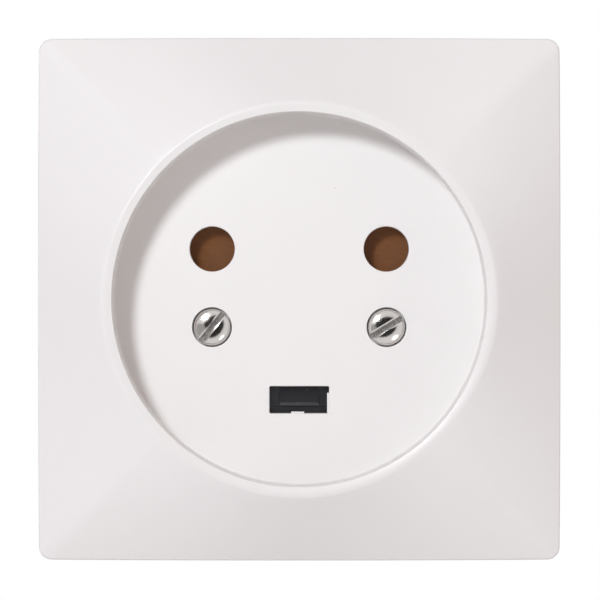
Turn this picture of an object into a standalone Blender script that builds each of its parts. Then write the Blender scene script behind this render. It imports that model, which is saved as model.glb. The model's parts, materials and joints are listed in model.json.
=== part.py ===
"""Flush wall socket with two round pin holes, a flat earth slot and a sliding shutter.

Metres, +Z up, +X to the right. The front faces -Y. The wall's surface is the plane Y = 0, and the origin
is the socket's centre on it. A height is a distance from the wall's surface towards the room, so what lies
inside the wall has a negative height.
"""

import math

import bmesh
import bpy

# Clearances
GAP = 0.0003
FASTENER_GAP = 0.0002

# Frame
FRAME_RUN = 0.0108
FRAME_HEIGHT = 0.0150
FRAME_CORNER_R = 0.0030
FRAME_EDGE_BOW = 0.0002
FRAME_WALL = 0.0018
FRAME_EDGE_HEIGHT = 0.0085
FRAME_EDGE_FILLET = 0.0014
LIP_INNER_R = 0.0283
LIP_WIDTH = 0.0016
LIP_CREST = 0.0009
LIP_INNER_DROP = 0.0002
LIP_BLEND_R = 0.0016
LIP_DEPTH = 0.0018
COLLAR_WALL = 0.0012
COLLAR_DEPTH = 0.0055

# Cover
FLOOR_WALL = 0.0022
CUP_DRAFT = 0.0007
CUP_FILLET = 0.0013
CUP_LEDGE = 0.0003
CUP_FOOT_CHAMFER = 0.0008
CUP_EDGE_ROUND = 0.0003

# Apertures
PIN_CIRCLE_R = 0.0155
PIN_ANGLE = math.radians(30)
PIN_HOLE_D = 0.0069
EARTH_SLOT_WIDTH = 0.0092
EARTH_SLOT_HEIGHT = 0.0042

# Cover screws
COVER_SCREW_X = 0.01345
COVER_SCREW_Z = -0.0043
COVER_SCREW_HEAD_D = 0.0057
COVER_SCREW_CROWN = 0.0009
COVER_SCREW_DOME_R = 0.0105
COVER_SCREW_SHOULDER_R = 0.0007
COVER_SCREW_SHANK_D = 0.0034
COVER_SCREW_SLOT = 0.00085
COVER_SCREW_SLOT_DEPTH = 0.0011
COUNTERBORE_DEPTH = 0.0012
COUNTERBORE_MARGIN = 0.00035
LEFT_SLOT_ANGLE = math.radians(51.5)
RIGHT_SLOT_ANGLE = math.radians(31.0)

# Mounting strap
STRAP_MARGIN = 0.0045
STRAP_THICKNESS = 0.0010
STRAP_CORNER_R = 0.004
FIXING_PITCH = 0.060
FIXING_SLOT_WIDTH = 0.0036
FIXING_SLOT_LENGTH = 0.0085
TAB_OFFSET = 0.022
TAB_WIDTH = 0.008
TAB_HEIGHT = 0.0065
TAB_WINDOW_WIDTH = 0.0056
TAB_WINDOW_HEIGHT = 0.0024
TAB_WINDOW_SILL = 0.0028
LEG_WALL = 0.0012
LEG_BARB = 0.0008

# Inner lid
LID_WALL = 0.0020
LID_EDGE = 0.00205
LID_TUBE_CLEARANCE = 0.0002
LID_TUBE_WALL = 0.0010
INSERT_WALL = 0.0008
INSERT_BOSS_WALL = 0.0009
INSERT_SEAT = 0.0012
LID_SCREW_INSET = 0.0037
LID_SCREW_ANGLES = {"top": 90.0, "left": 226.0, "right": 314.0}
LID_SCREW_HEAD_D = 0.0042
LID_SCREW_HEAD_HEIGHT = 0.0011
LID_SCREW_SHANK_D = 0.0024
LID_SCREW_LENGTH = 0.0070
LID_SCREW_CROSS = 0.0021
LID_SCREW_CROSS_WIDTH = 0.0006
LID_SCREW_CROSS_DEPTH = 0.0007

# Shutter
SHUTTER_SETBACK = 0.0072
SHUTTER_PLATE_THICKNESS = 0.0016
SHUTTER_MARGIN = 0.00035
SHUTTER_OPEN_CLEARANCE = 0.00025
SHUTTER_CORNER_R = 0.0009
CARRIAGE_DEPTH = 0.0037
CARRIAGE_ARM = 0.0017
CARRIAGE_BLADE_CLEARANCE = 0.0004
CARRIAGE_TOP_BAR = 0.0021
CARRIAGE_WEB = 0.0012
CARRIAGE_CHAMFER = 0.0020
WEDGE_WIDTH = 0.0061
WEDGE_NOSE_HEIGHT = 0.0005
WEDGE_NOSE_DROP = 0.0011
WEDGE_TIP_DEPTH = 0.0006
WEDGE_SETBACK = 0.0004
SHUTTER_RIVET_D = 0.0012
SHUTTER_RIVET_HEAD_D = 0.0023
SHUTTER_RIVET_HEAD = 0.0004

# Return spring
SPRING_MEAN_D = 0.0030
SPRING_WIRE_D = 0.0005
SPRING_TURNS = 9
SPRING_POST_WIDTH = 0.0040
SPRING_POST_HEIGHT = 0.0025

# Base
BASE_FLANGE = 0.0027
BASE_FLANGE_LIP = 0.0009
BASE_REAR_WALL = 0.0020
BASE_TOP_WALL = 0.0033
BASE_STEP_LEAD = 0.0024
RIVET_ANGLES = {"upper_right": 45.0, "upper_left": 135.0, "lower_left": 225.0, "lower_right": 315.0}
RIVET_INSET = 0.00275
RIVET_D = 0.0024
RIVET_HEAD_D = 0.0042
RIVET_HEAD = 0.0007
RIVET_HEAD_TOP_D = 0.0025
RIVET_SCALLOP_R = 0.0030

# Line contacts
SLEEVE_BORE_D = 0.0063
SLEEVE_WALL = 0.00115
SLEEVE_LENGTH = 0.0120
SLEEVE_SLIT = 0.0008
SLEEVE_SLIT_LENGTH = 0.0085
CONTACT_RING_WALL = 0.0006
CONTACT_RING_WIDTH = 0.0020
CONTACT_RING_SETBACK = 0.0016
CONTACT_RING_OPENING = math.radians(40)
TERMINAL_BLOCK_SIDE = 0.0070
TERMINAL_BLOCK_LENGTH = 0.0078
WIRE_BORE_D = 0.0038
WIRE_ENTRY_D = 0.0052

# Earth contact
EARTH_LEAF = 0.0008
EARTH_LEAF_WIDTH = 0.0084
EARTH_JAW = 0.0026
EARTH_MOUTH = 0.0040
EARTH_JAW_LENGTH = 0.0085
EARTH_PINCH_DEPTH = 0.0028
EARTH_LEAF_SPREAD = 0.0056
EARTH_CHAMBER_CLEARANCE = 0.0004

# Terminal screws
TERMINAL_SCREW_HEAD_D = 0.0048
TERMINAL_SCREW_HEAD = 0.0020
TERMINAL_SCREW_SHANK_D = 0.0030
TERMINAL_SCREW_SLOT = 0.0008
TERMINAL_POCKET_DEPTH = 0.0026
TERMINAL_WALL = 0.0024

# Facets
CUP_STEPS = 64
DISC_STEPS = 48
HOLE_STEPS = 24
SMALL_STEPS = 12
SPRING_STEPS = 10
SIDE_STEPS = 7
CORNER_STEPS = 4
LOFT_STEPS = 3
ARC_STEPS = 3
DOME_STEPS = 5
WELD = 0.000001
SHARP = math.radians(35)
OVERSHOOT = 0.001

# Heights that follow from the sizes above
BASE_FRONT = -GAP
LID_BACK = BASE_FRONT + GAP
LID_FRONT = LID_BACK + LID_WALL
FLOOR_BACK = LID_FRONT + GAP
FLOOR_HEIGHT = FLOOR_BACK + FLOOR_WALL
PLATE_FRONT = FLOOR_HEIGHT - SHUTTER_SETBACK
PLATE_BACK = PLATE_FRONT - SHUTTER_PLATE_THICKNESS
BOSS_BACK = PLATE_FRONT + GAP
CARRIAGE_FRONT = PLATE_BACK - GAP
CARRIAGE_BACK = CARRIAGE_FRONT - CARRIAGE_DEPTH
CHANNEL_FLOOR = CARRIAGE_BACK - GAP
LIP_UNDERSIDE = FRAME_HEIGHT - LIP_DEPTH
CUP_TOP = LIP_UNDERSIDE - GAP

# Places that follow from the sizes above
PIN_X = PIN_CIRCLE_R * math.cos(PIN_ANGLE)
PIN_Z = PIN_CIRCLE_R * math.sin(PIN_ANGLE)
EARTH_Z = -PIN_CIRCLE_R
PIN_HOLE_R = PIN_HOLE_D / 2
LIP_OUTER_R = LIP_INNER_R + LIP_WIDTH
LIP_CREST_R = LIP_INNER_R + LIP_CREST
FRAME_SIDE = 2 * (LIP_CREST_R + FRAME_RUN)
CUP_TOP_R = LIP_INNER_R - CUP_LEDGE
CUP_FLOOR_R = CUP_TOP_R - CUP_DRAFT
CUP_OUTER_R = LIP_OUTER_R - GAP
COLLAR_INNER_R = CUP_OUTER_R + GAP
COLLAR_OUTER_R = COLLAR_INNER_R + COLLAR_WALL
LID_TUBE_R = PIN_HOLE_R + LID_TUBE_CLEARANCE
LID_TUBE_OUTER_R = LID_TUBE_R + LID_TUBE_WALL
LID_R = PIN_CIRCLE_R + LID_TUBE_OUTER_R + LID_EDGE
LID_SCREW_RING_R = LID_R - LID_SCREW_INSET
STRAP_SIDE = FRAME_SIDE - 2 * STRAP_MARGIN
STRAP_OPENING_R = LID_R + GAP
RIVET_RING_R = STRAP_OPENING_R + RIVET_INSET
BASE_FLANGE_R = RIVET_RING_R + RIVET_INSET
COVER_SHANK_R = COVER_SCREW_SHANK_D / 2
INSERT_R = COVER_SHANK_R + GAP
INSERT_OUTER_R = INSERT_R + INSERT_WALL
INSERT_BOSS_R = INSERT_OUTER_R + GAP + INSERT_BOSS_WALL
PLATE_HALF_HEIGHT = PIN_HOLE_R + SHUTTER_MARGIN
PLATE_HALF_WIDTH = PIN_X + PLATE_HALF_HEIGHT
PLATE_TOP = PIN_Z + PLATE_HALF_HEIGHT
PLATE_BOTTOM = PIN_Z - PLATE_HALF_HEIGHT
TRAVEL = PIN_HOLE_D + SHUTTER_MARGIN + SHUTTER_OPEN_CLEARANCE
ARM_INNER_X = EARTH_SLOT_WIDTH / 2 + CARRIAGE_BLADE_CLEARANCE
ARM_OUTER_X = ARM_INNER_X + CARRIAGE_ARM
SLOT_BOTTOM = EARTH_Z - EARTH_SLOT_HEIGHT / 2
NOSE_BOTTOM = EARTH_Z - WEDGE_NOSE_DROP
NOSE_RIDGE = NOSE_BOTTOM + WEDGE_NOSE_HEIGHT
WEDGE_TOP = SLOT_BOTTOM + TRAVEL + GAP
WEB_TOP = NOSE_BOTTOM - GAP
CARRIAGE_BOTTOM = WEB_TOP - CARRIAGE_WEB
POST_BOTTOM = WEDGE_TOP + GAP
POST_TOP = POST_BOTTOM + SPRING_POST_HEIGHT
TOP_BAR_BOTTOM = PLATE_TOP - CARRIAGE_TOP_BAR
SPRING_HEIGHT = (CARRIAGE_FRONT + CARRIAGE_BACK) / 2
CONTACT_OUTER_R = SLEEVE_BORE_D / 2 + SLEEVE_WALL
CONTACT_BORE_R = CONTACT_OUTER_R + 2 * FASTENER_GAP + CONTACT_RING_WALL
CONTACT_FRONT = CARRIAGE_FRONT - GAP
BLOCK_FRONT = CONTACT_FRONT - SLEEVE_LENGTH
BLOCK_BACK = BLOCK_FRONT - TERMINAL_BLOCK_LENGTH
BLOCK_MIDDLE = (BLOCK_FRONT + BLOCK_BACK) / 2
EARTH_FRONT = CHANNEL_FLOOR - GAP
EARTH_HALF_SPREAD = EARTH_LEAF_SPREAD / 2
BASE_BACK = BLOCK_BACK - GAP - BASE_REAR_WALL
BASE_STEP = BLOCK_FRONT + BASE_STEP_LEAD
BASE_R = BASE_FLANGE_R - BASE_FLANGE_LIP
LINE_BLOCK_FACE = PIN_X + TERMINAL_BLOCK_SIDE / 2
EARTH_BLOCK_FACE = -EARTH_Z + EARTH_HALF_SPREAD + EARTH_LEAF
BASE_SIDE_FLAT = LINE_BLOCK_FACE + TERMINAL_WALL + TERMINAL_POCKET_DEPTH
BASE_BOTTOM_FLAT = EARTH_BLOCK_FACE + TERMINAL_WALL + TERMINAL_POCKET_DEPTH
BASE_TOP_FLAT = PIN_Z + CONTACT_BORE_R + BASE_TOP_WALL

# Colour, roughness and metallic value of each material
WHITE_FRAME = ("white_frame", (0.82, 0.81, 0.80), 0.38, 0.0)
WHITE_COVER = ("white_cover", (0.82, 0.80, 0.79), 0.42, 0.0)
NICKEL = ("nickel", (0.66, 0.63, 0.60), 0.20, 1.0)
ZINC_STEEL = ("zinc_steel", (0.60, 0.61, 0.62), 0.38, 1.0)
BLACK_MOULDING = ("black_moulding", (0.020, 0.019, 0.021), 0.45, 0.0)
BLACK_SLIDE = ("black_slide", (0.026, 0.026, 0.028), 0.35, 0.0)
BROWN_BOARD = ("brown_board", (0.16, 0.068, 0.032), 0.60, 0.0)
BRASS = ("brass", (0.72, 0.53, 0.26), 0.28, 1.0)
SPRING_STEEL = ("spring_steel", (0.50, 0.50, 0.51), 0.25, 1.0)


def clear_scene():
    for obj in list(bpy.data.objects):
        bpy.data.objects.remove(obj, do_unlink=True)


def material(finish):
    """The Principled material of this finish, made once."""
    name, colour, roughness, metallic = finish
    found = bpy.data.materials.get(name)
    if found:
        return found
    made = bpy.data.materials.new(name)
    made.use_nodes = True
    shader = made.node_tree.nodes["Principled BSDF"]
    shader.inputs["Base Color"].default_value = (*colour, 1.0)
    shader.inputs["Roughness"].default_value = roughness
    shader.inputs["Metallic"].default_value = metallic
    made.diffuse_color = (*colour, 1.0)
    return made


def finished(bm, name, finish=None):
    """Welds the mesh, turns its faces outwards and puts it in the scene as one object."""
    bmesh.ops.remove_doubles(bm, verts=bm.verts, dist=WELD)
    bmesh.ops.recalc_face_normals(bm, faces=bm.faces)
    mesh = bpy.data.meshes.new(name)
    bm.to_mesh(mesh)
    bm.free()
    mesh.shade_smooth()
    mesh.set_sharp_from_angle(angle=SHARP)
    if finish:
        mesh.materials.append(material(finish))
    obj = bpy.data.objects.new(name, mesh)
    bpy.context.scene.collection.objects.link(obj)
    return obj


def combined(target, name, add_shapes, operation):
    """Cuts the target with the shapes that add_shapes makes, or joins them to it."""
    bm = bmesh.new()
    add_shapes(bm)
    helper = finished(bm, name)
    helper.hide_render = True
    helper.display_type = "WIRE"
    helper.parent = target
    modifier = target.modifiers.new(name, "BOOLEAN")
    modifier.object = helper
    modifier.operation = operation
    modifier.solver = "EXACT"
    modifier.use_self = True


def cut(target, name, add_shapes):
    combined(target, name, add_shapes, "DIFFERENCE")


def join(target, name, add_shapes):
    combined(target, name, add_shapes, "UNION")


def turned(bm, profile, steps, x=0.0, z=0.0):
    """Spins an outline of (radius, height) points about the front-to-back line through x, z."""
    verts = [bm.verts.new((x + radius, -height, z)) for radius, height in profile]
    edges = [bm.edges.new(pair) for pair in zip(verts, verts[1:])]
    if profile[0][0] > 0 or profile[-1][0] > 0:
        edges.append(bm.edges.new((verts[-1], verts[0])))
    bmesh.ops.spin(
        bm,
        geom=verts + edges,
        cent=(x, 0, z),
        axis=(0, 1, 0),
        angle=2 * math.pi,
        steps=steps,
        use_merge=True,
    )


def rod(bm, radius, front, back, steps, x=0.0, z=0.0):
    turned(bm, [(0, front), (radius, front), (radius, back), (0, back)], steps, x, z)


def block(bm, x, height, z):
    """A box between the two limits given for each of x, height and z."""
    verts = bmesh.ops.create_cube(bm, size=1.0)["verts"]
    size = (x[1] - x[0], abs(height[1] - height[0]), z[1] - z[0])
    centre = ((x[0] + x[1]) / 2, -(height[0] + height[1]) / 2, (z[0] + z[1]) / 2)
    bmesh.ops.scale(bm, vec=size, verts=verts)
    bmesh.ops.translate(bm, vec=centre, verts=verts)


def extruded(bm, points, vector):
    """A prism: the face through these points, drawn out along the vector."""
    face = bm.faces.new([bm.verts.new(point) for point in points])
    made = bmesh.ops.extrude_face_region(bm, geom=[face], use_keep_orig=True)["geom"]
    moved = [part for part in made if isinstance(part, bmesh.types.BMVert)]
    bmesh.ops.translate(bm, vec=vector, verts=moved)


def prism(bm, outline, front, back):
    """Draws an outline of (x, z) points from one height to another."""
    extruded(bm, [(x, -front, z) for x, z in outline], (0, front - back, 0))


def side_prism(bm, outline, left, right):
    """Draws an outline of (height, z) points from left to right."""
    extruded(bm, [(left, -height, z) for height, z in outline], (right - left, 0, 0))


def arc(centre, radius, start, end, steps):
    """Points of an arc from one angle to another, in degrees."""
    turns = [math.radians(start + (end - start) * i / steps) for i in range(steps + 1)]
    return [
        (centre[0] + radius * math.cos(turn), centre[1] + radius * math.sin(turn))
        for turn in turns
    ]


def rounded_rectangle(half_x, half_z, radius, x=0.0, z=0.0, steps=4):
    corners = [(1, 1, 0), (-1, 1, 90), (-1, -1, 180), (1, -1, 270)]
    outline = []
    for side_x, side_z, start in corners:
        centre = (x + side_x * (half_x - radius), z + side_z * (half_z - radius))
        outline += arc(centre, radius, start, start + 90, steps)
    return outline


def on_ring(radius, degrees):
    turn = math.radians(degrees)
    return radius * math.cos(turn), radius * math.sin(turn)


# Frame


def square_reach(angle, half, corner):
    """How far out a rounded square lies in this direction. Its sides are bowed a little."""
    turn = angle % (math.pi / 2)
    turn = min(turn, math.pi / 2 - turn)
    half = half - FRAME_EDGE_BOW * math.tan(turn) ** 2
    if half * math.tan(turn) <= half - corner:
        return half / math.cos(turn)
    centre = half - corner
    along = centre * (math.cos(turn) + math.sin(turn))
    across = centre * (math.cos(turn) - math.sin(turn))
    return along + math.sqrt(max(corner**2 - across**2, 0))


def loft_angles():
    """Directions of the loft's lines: even along the sides and close together at the corners."""
    half = FRAME_SIDE / 2
    side = math.atan2(half - FRAME_CORNER_R, half)
    corner = math.pi / 2 - 2 * side
    quarter = [side * i / SIDE_STEPS for i in range(SIDE_STEPS)]
    quarter += [side + corner * i / CORNER_STEPS for i in range(CORNER_STEPS)]
    quarter += [math.pi / 2 - side + side * i / SIDE_STEPS for i in range(SIDE_STEPS)]
    return [turn + math.pi / 2 * i for i in range(4) for turn in quarter]


def slope_start(angle):
    """Where the lip's rounded crest runs into the flat slope in this direction, out from the crest."""
    edge = square_reach(angle, FRAME_SIDE / 2 - FRAME_EDGE_FILLET, FRAME_CORNER_R)
    run = edge - LIP_CREST_R
    drop = FRAME_HEIGHT - FRAME_EDGE_HEIGHT
    return run - math.sqrt(run**2 - 2 * LIP_BLEND_R * drop)


def ring_loop(radius, height):
    return [(radius * math.cos(angle), -height, radius * math.sin(angle)) for angle in loft_angles()]


def square_loop(inset, height):
    points = []
    corner = max(FRAME_CORNER_R - inset, FRAME_CORNER_R / 3)
    for angle in loft_angles():
        reach = square_reach(angle, FRAME_SIDE / 2 - inset, corner)
        points.append((reach * math.cos(angle), -height, reach * math.sin(angle)))
    return points


def blend_loop(share):
    """A loop on the rounding between the lip's crest and the slope."""
    points = []
    for angle in loft_angles():
        out = slope_start(angle) * share
        reach = LIP_CREST_R + out
        height = FRAME_HEIGHT - out**2 / (2 * LIP_BLEND_R)
        points.append((reach * math.cos(angle), -height, reach * math.sin(angle)))
    return points


def between(first, second, share):
    """A loop part of the way from one loop to another."""
    pairs = zip(first, second)
    return [tuple(a + (b - a) * share for a, b in zip(start, end)) for start, end in pairs]


def lip_foot():
    """The height of the lip's outer side, where its slope starts on the middle of a side."""
    return FRAME_HEIGHT - slope_start(0) ** 2 / (2 * LIP_BLEND_R)


def inside_height(share):
    """The underside of the shell, this share of the way from the collar to the edge."""
    top = lip_foot() - FRAME_WALL
    return top + (FRAME_EDGE_HEIGHT - FRAME_WALL - top) * share


def frame_loops():
    """Loops round the frame's section, from the outer foot over the top to the inner foot."""
    fillet = FRAME_EDGE_FILLET
    loops = [square_loop(0, 0)]
    for i in range(ARC_STEPS + 1):
        turn = math.pi / 2 * i / ARC_STEPS
        inset = fillet * (1 - math.cos(turn))
        loops.append(square_loop(inset, FRAME_EDGE_HEIGHT - fillet * (1 - math.sin(turn))))
    edge = loops[-1]
    slope_top = blend_loop(1)
    loops += [between(edge, slope_top, i / LOFT_STEPS) for i in range(1, LOFT_STEPS)]
    loops += [blend_loop(1 - i / ARC_STEPS) for i in range(ARC_STEPS + 1)]
    loops.append(ring_loop(LIP_INNER_R + LIP_INNER_DROP, FRAME_HEIGHT - LIP_INNER_DROP / 3))
    loops.append(ring_loop(LIP_INNER_R, FRAME_HEIGHT - LIP_INNER_DROP))
    loops.append(ring_loop(LIP_INNER_R, LIP_UNDERSIDE))
    loops.append(ring_loop(COLLAR_INNER_R, LIP_UNDERSIDE))
    loops.append(ring_loop(COLLAR_INNER_R, LIP_UNDERSIDE - COLLAR_DEPTH))
    loops.append(ring_loop(COLLAR_OUTER_R, LIP_UNDERSIDE - COLLAR_DEPTH))
    inner_ring = ring_loop(COLLAR_OUTER_R, inside_height(0))
    inner_edge = square_loop(FRAME_WALL, inside_height(1))
    loops += [between(inner_ring, inner_edge, i / LOFT_STEPS) for i in range(LOFT_STEPS + 1)]
    loops.append(square_loop(FRAME_WALL, 0))
    return loops


def leg_top(x, z):
    """The middle of the shell's thickness above this point."""
    edge = square_reach(math.atan2(z, x), FRAME_SIDE / 2 - FRAME_WALL, FRAME_CORNER_R)
    share = (math.hypot(x, z) - COLLAR_OUTER_R) / (edge - COLLAR_OUTER_R)
    return inside_height(min(share, 1)) + FRAME_WALL / 2


def leg_places():
    return [(side, level) for side in (-1, 1) for level in (-1, 1)]


def add_legs(bm):
    """Four clip legs that stand outside the strap's tabs, each with a barb for the tab's window."""
    inner = STRAP_SIDE / 2 + GAP
    half = TAB_WIDTH / 2
    barb_half = TAB_WINDOW_WIDTH / 2 - GAP
    barb_top = TAB_WINDOW_SILL + TAB_WINDOW_HEIGHT - GAP
    barb_bottom = TAB_WINDOW_SILL + GAP
    for side, level in leg_places():
        z = level * TAB_OFFSET
        top = leg_top(inner + LEG_WALL, abs(z) + half)
        x = sorted((side * inner, side * (inner + LEG_WALL)))
        block(bm, x, (STRAP_THICKNESS, top), (z - half, z + half))
        tip = side * (inner - LEG_BARB)
        root = side * (inner + LEG_WALL / 2)
        outline = [(root, barb_bottom), (tip, barb_top), (root, barb_top)]
        points = [(x, -height, z - barb_half) for x, height in outline]
        extruded(bm, points, (0, 0, 2 * barb_half))


def skin(bm, loops):
    """Joins each loop to the next with quads, and the last to the first."""
    rows = [[bm.verts.new(point) for point in points] for points in loops]
    for first, second in zip(rows, rows[1:] + rows[:1]):
        corners = zip(first, first[1:] + first[:1], second[1:] + second[:1], second)
        for quad in corners:
            bm.faces.new(quad)


def make_frame():
    bm = bmesh.new()
    skin(bm, frame_loops())
    frame = finished(bm, "frame", WHITE_FRAME)
    join(frame, "frame_legs", add_legs)
    return frame


# Cover


def cup_profile():
    fillet_centre = (CUP_FLOOR_R - CUP_FILLET, FLOOR_HEIGHT + CUP_FILLET)
    edge = CUP_EDGE_ROUND
    profile = [(0, FLOOR_HEIGHT)]
    profile += arc(fillet_centre, CUP_FILLET, -90, 0, ARC_STEPS)
    profile += [(CUP_TOP_R, CUP_TOP - edge), (CUP_TOP_R + edge, CUP_TOP)]
    profile += [(CUP_OUTER_R - edge, CUP_TOP), (CUP_OUTER_R, CUP_TOP - edge)]
    profile += [(CUP_OUTER_R, FLOOR_BACK + CUP_FOOT_CHAMFER)]
    profile += [(CUP_OUTER_R - CUP_FOOT_CHAMFER, FLOOR_BACK), (0, FLOOR_BACK)]
    return profile


def add_cover_apertures(bm):
    front = FLOOR_HEIGHT + OVERSHOOT
    back = FLOOR_BACK - OVERSHOOT
    for side in (-1, 1):
        rod(bm, PIN_HOLE_R, front, back, HOLE_STEPS, side * PIN_X, PIN_Z)
        head_r = COVER_SCREW_HEAD_D / 2 + COUNTERBORE_MARGIN
        shank_r = COVER_SHANK_R + GAP
        seat = FLOOR_HEIGHT - COUNTERBORE_DEPTH
        steps = [(0, front), (head_r, front), (head_r, seat), (shank_r, seat), (shank_r, back), (0, back)]
        turned(bm, steps, HOLE_STEPS, side * COVER_SCREW_X, COVER_SCREW_Z)
    half_x = EARTH_SLOT_WIDTH / 2
    half_z = EARTH_SLOT_HEIGHT / 2
    block(bm, (-half_x, half_x), (back, front), (EARTH_Z - half_z, EARTH_Z + half_z))


def make_cover():
    bm = bmesh.new()
    turned(bm, cup_profile(), CUP_STEPS)
    cover = finished(bm, "cover", WHITE_COVER)
    cut(cover, "cover_apertures", add_cover_apertures)
    return cover


def screw_dome(radius, top):
    """A flat dome with a rounded shoulder, from its crown to its rim, as (radius, height) points."""
    shoulder = COVER_SCREW_SHOULDER_R
    ball = COVER_SCREW_DOME_R
    lean = math.asin((radius - shoulder) / (ball - shoulder))
    shoulder_height = top - ball + (ball - shoulder) * math.cos(lean)
    points = arc((0, top - ball), ball, 90, 90 - math.degrees(lean), DOME_STEPS)
    return points + arc((radius - shoulder, shoulder_height), shoulder, 90 - math.degrees(lean), 0, ARC_STEPS)[1:]


def make_cover_screw(name, side, slot_angle):
    """A domed slotted screw, modelled about its own axis."""
    radius = COVER_SCREW_HEAD_D / 2
    seat = FLOOR_HEIGHT - COUNTERBORE_DEPTH + FASTENER_GAP
    crown_top = FLOOR_HEIGHT + COVER_SCREW_CROWN
    tip = BOSS_BACK + GAP
    profile = screw_dome(radius, crown_top)
    profile += [(radius, seat), (COVER_SHANK_R, seat), (COVER_SHANK_R, tip), (0, tip)]
    bm = bmesh.new()
    turned(bm, profile, HOLE_STEPS)
    screw = finished(bm, name, NICKEL)

    def add_slot(bm):
        half = COVER_SCREW_SLOT / 2
        bottom = crown_top - COVER_SCREW_SLOT_DEPTH
        block(bm, (-radius - OVERSHOOT, radius + OVERSHOOT), (bottom, crown_top + OVERSHOOT), (-half, half))

    cut(screw, name + "_slot", add_slot)
    screw.location = (side * COVER_SCREW_X, 0, COVER_SCREW_Z)
    screw.rotation_euler = (0, -slot_angle, 0)
    return screw


# Mounting strap


def add_strap_holes(bm):
    front = STRAP_THICKNESS + OVERSHOOT
    back = -OVERSHOOT
    rod(bm, STRAP_OPENING_R, front, back, DISC_STEPS)
    across = FIXING_SLOT_WIDTH / 2
    along = FIXING_SLOT_LENGTH / 2
    for side in (-1, 1):
        place = side * FIXING_PITCH / 2
        prism(bm, rounded_rectangle(across, along, across - WELD, place, 0), front, back)
        prism(bm, rounded_rectangle(along, across, across - WELD, 0, place), front, back)
    for degrees in RIVET_ANGLES.values():
        x, z = on_ring(RIVET_RING_R, degrees)
        rod(bm, RIVET_D / 2 + FASTENER_GAP, front, back, SMALL_STEPS, x, z)


def add_strap_tabs(bm):
    outer = STRAP_SIDE / 2
    inner = outer - STRAP_THICKNESS
    half = TAB_WIDTH / 2
    for side, level in leg_places():
        x = sorted((side * inner, side * outer))
        z = level * TAB_OFFSET
        block(bm, x, (STRAP_THICKNESS / 2, TAB_HEIGHT), (z - half, z + half))


def add_tab_windows(bm):
    outer = STRAP_SIDE / 2
    half = TAB_WINDOW_WIDTH / 2
    top = TAB_WINDOW_SILL + TAB_WINDOW_HEIGHT
    for side, level in leg_places():
        x = sorted((side * (outer - STRAP_THICKNESS - OVERSHOOT), side * (outer + OVERSHOOT)))
        z = level * TAB_OFFSET
        block(bm, x, (TAB_WINDOW_SILL, top), (z - half, z + half))


def make_strap():
    bm = bmesh.new()
    half = STRAP_SIDE / 2
    prism(bm, rounded_rectangle(half, half, STRAP_CORNER_R), STRAP_THICKNESS, 0)
    strap = finished(bm, "mounting_strap", ZINC_STEEL)
    join(strap, "strap_tabs", add_strap_tabs)
    cut(strap, "strap_holes", add_strap_holes)
    cut(strap, "tab_windows", add_tab_windows)
    return strap


def make_strap_rivet(name, degrees):
    radius = RIVET_D / 2
    head_r = RIVET_HEAD_D / 2
    top_r = RIVET_HEAD_TOP_D / 2
    front = STRAP_THICKNESS + FASTENER_GAP
    back = BASE_FRONT - BASE_FLANGE - FASTENER_GAP
    profile = [(0, front + RIVET_HEAD), (top_r, front + RIVET_HEAD), (head_r, front)]
    profile += [(radius, front), (radius, back), (head_r, back)]
    profile += [(top_r, back - RIVET_HEAD), (0, back - RIVET_HEAD)]
    bm = bmesh.new()
    turned(bm, profile, SMALL_STEPS)
    rivet = finished(bm, name, ZINC_STEEL)
    x, z = on_ring(RIVET_RING_R, degrees)
    rivet.location = (x, 0, z)
    return rivet


# Inner lid


def add_lid_bosses(bm):
    inside = (LID_FRONT + LID_BACK) / 2
    for side in (-1, 1):
        rod(bm, LID_TUBE_OUTER_R, inside, BOSS_BACK, HOLE_STEPS, side * PIN_X, PIN_Z)
        rod(bm, INSERT_BOSS_R, inside, BOSS_BACK, HOLE_STEPS, side * COVER_SCREW_X, COVER_SCREW_Z)


def add_lid_holes(bm):
    front = LID_FRONT + OVERSHOOT
    back = BOSS_BACK - OVERSHOOT
    for side in (-1, 1):
        rod(bm, LID_TUBE_R, front, back, HOLE_STEPS, side * PIN_X, PIN_Z)
        shank_r = COVER_SHANK_R + GAP
        pocket_r = INSERT_OUTER_R + FASTENER_GAP
        seat = LID_FRONT - INSERT_SEAT
        steps = [(0, front), (shank_r, front), (shank_r, seat), (pocket_r, seat), (pocket_r, back), (0, back)]
        turned(bm, steps, SMALL_STEPS, side * COVER_SCREW_X, COVER_SCREW_Z)
    half_x = EARTH_SLOT_WIDTH / 2 + GAP
    half_z = EARTH_SLOT_HEIGHT / 2 + GAP
    block(bm, (-half_x, half_x), (back, front), (EARTH_Z - half_z, EARTH_Z + half_z))
    for degrees in LID_SCREW_ANGLES.values():
        x, z = on_ring(LID_SCREW_RING_R, degrees)
        head_r = LID_SCREW_HEAD_D / 2 + FASTENER_GAP
        shank_r = LID_SCREW_SHANK_D / 2 + FASTENER_GAP
        seat = LID_FRONT - LID_SCREW_HEAD_HEIGHT - FASTENER_GAP
        steps = [(0, front), (head_r, front), (head_r, seat), (shank_r, seat), (shank_r, back), (0, back)]
        turned(bm, steps, SMALL_STEPS, x, z)


def make_lid():
    bm = bmesh.new()
    rod(bm, LID_R, LID_FRONT, LID_BACK, DISC_STEPS)
    lid = finished(bm, "inner_lid", BLACK_MOULDING)
    join(lid, "lid_bosses", add_lid_bosses)
    cut(lid, "lid_holes", add_lid_holes)
    return lid


def make_insert(name, side):
    """A brass bush for the cover screw's thread."""
    front = LID_FRONT - INSERT_SEAT - FASTENER_GAP
    profile = [(INSERT_R, front), (INSERT_OUTER_R, front), (INSERT_OUTER_R, BOSS_BACK), (INSERT_R, BOSS_BACK)]
    bm = bmesh.new()
    turned(bm, profile, SMALL_STEPS)
    insert = finished(bm, name, BRASS)
    insert.location = (side * COVER_SCREW_X, 0, COVER_SCREW_Z)
    return insert


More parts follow.
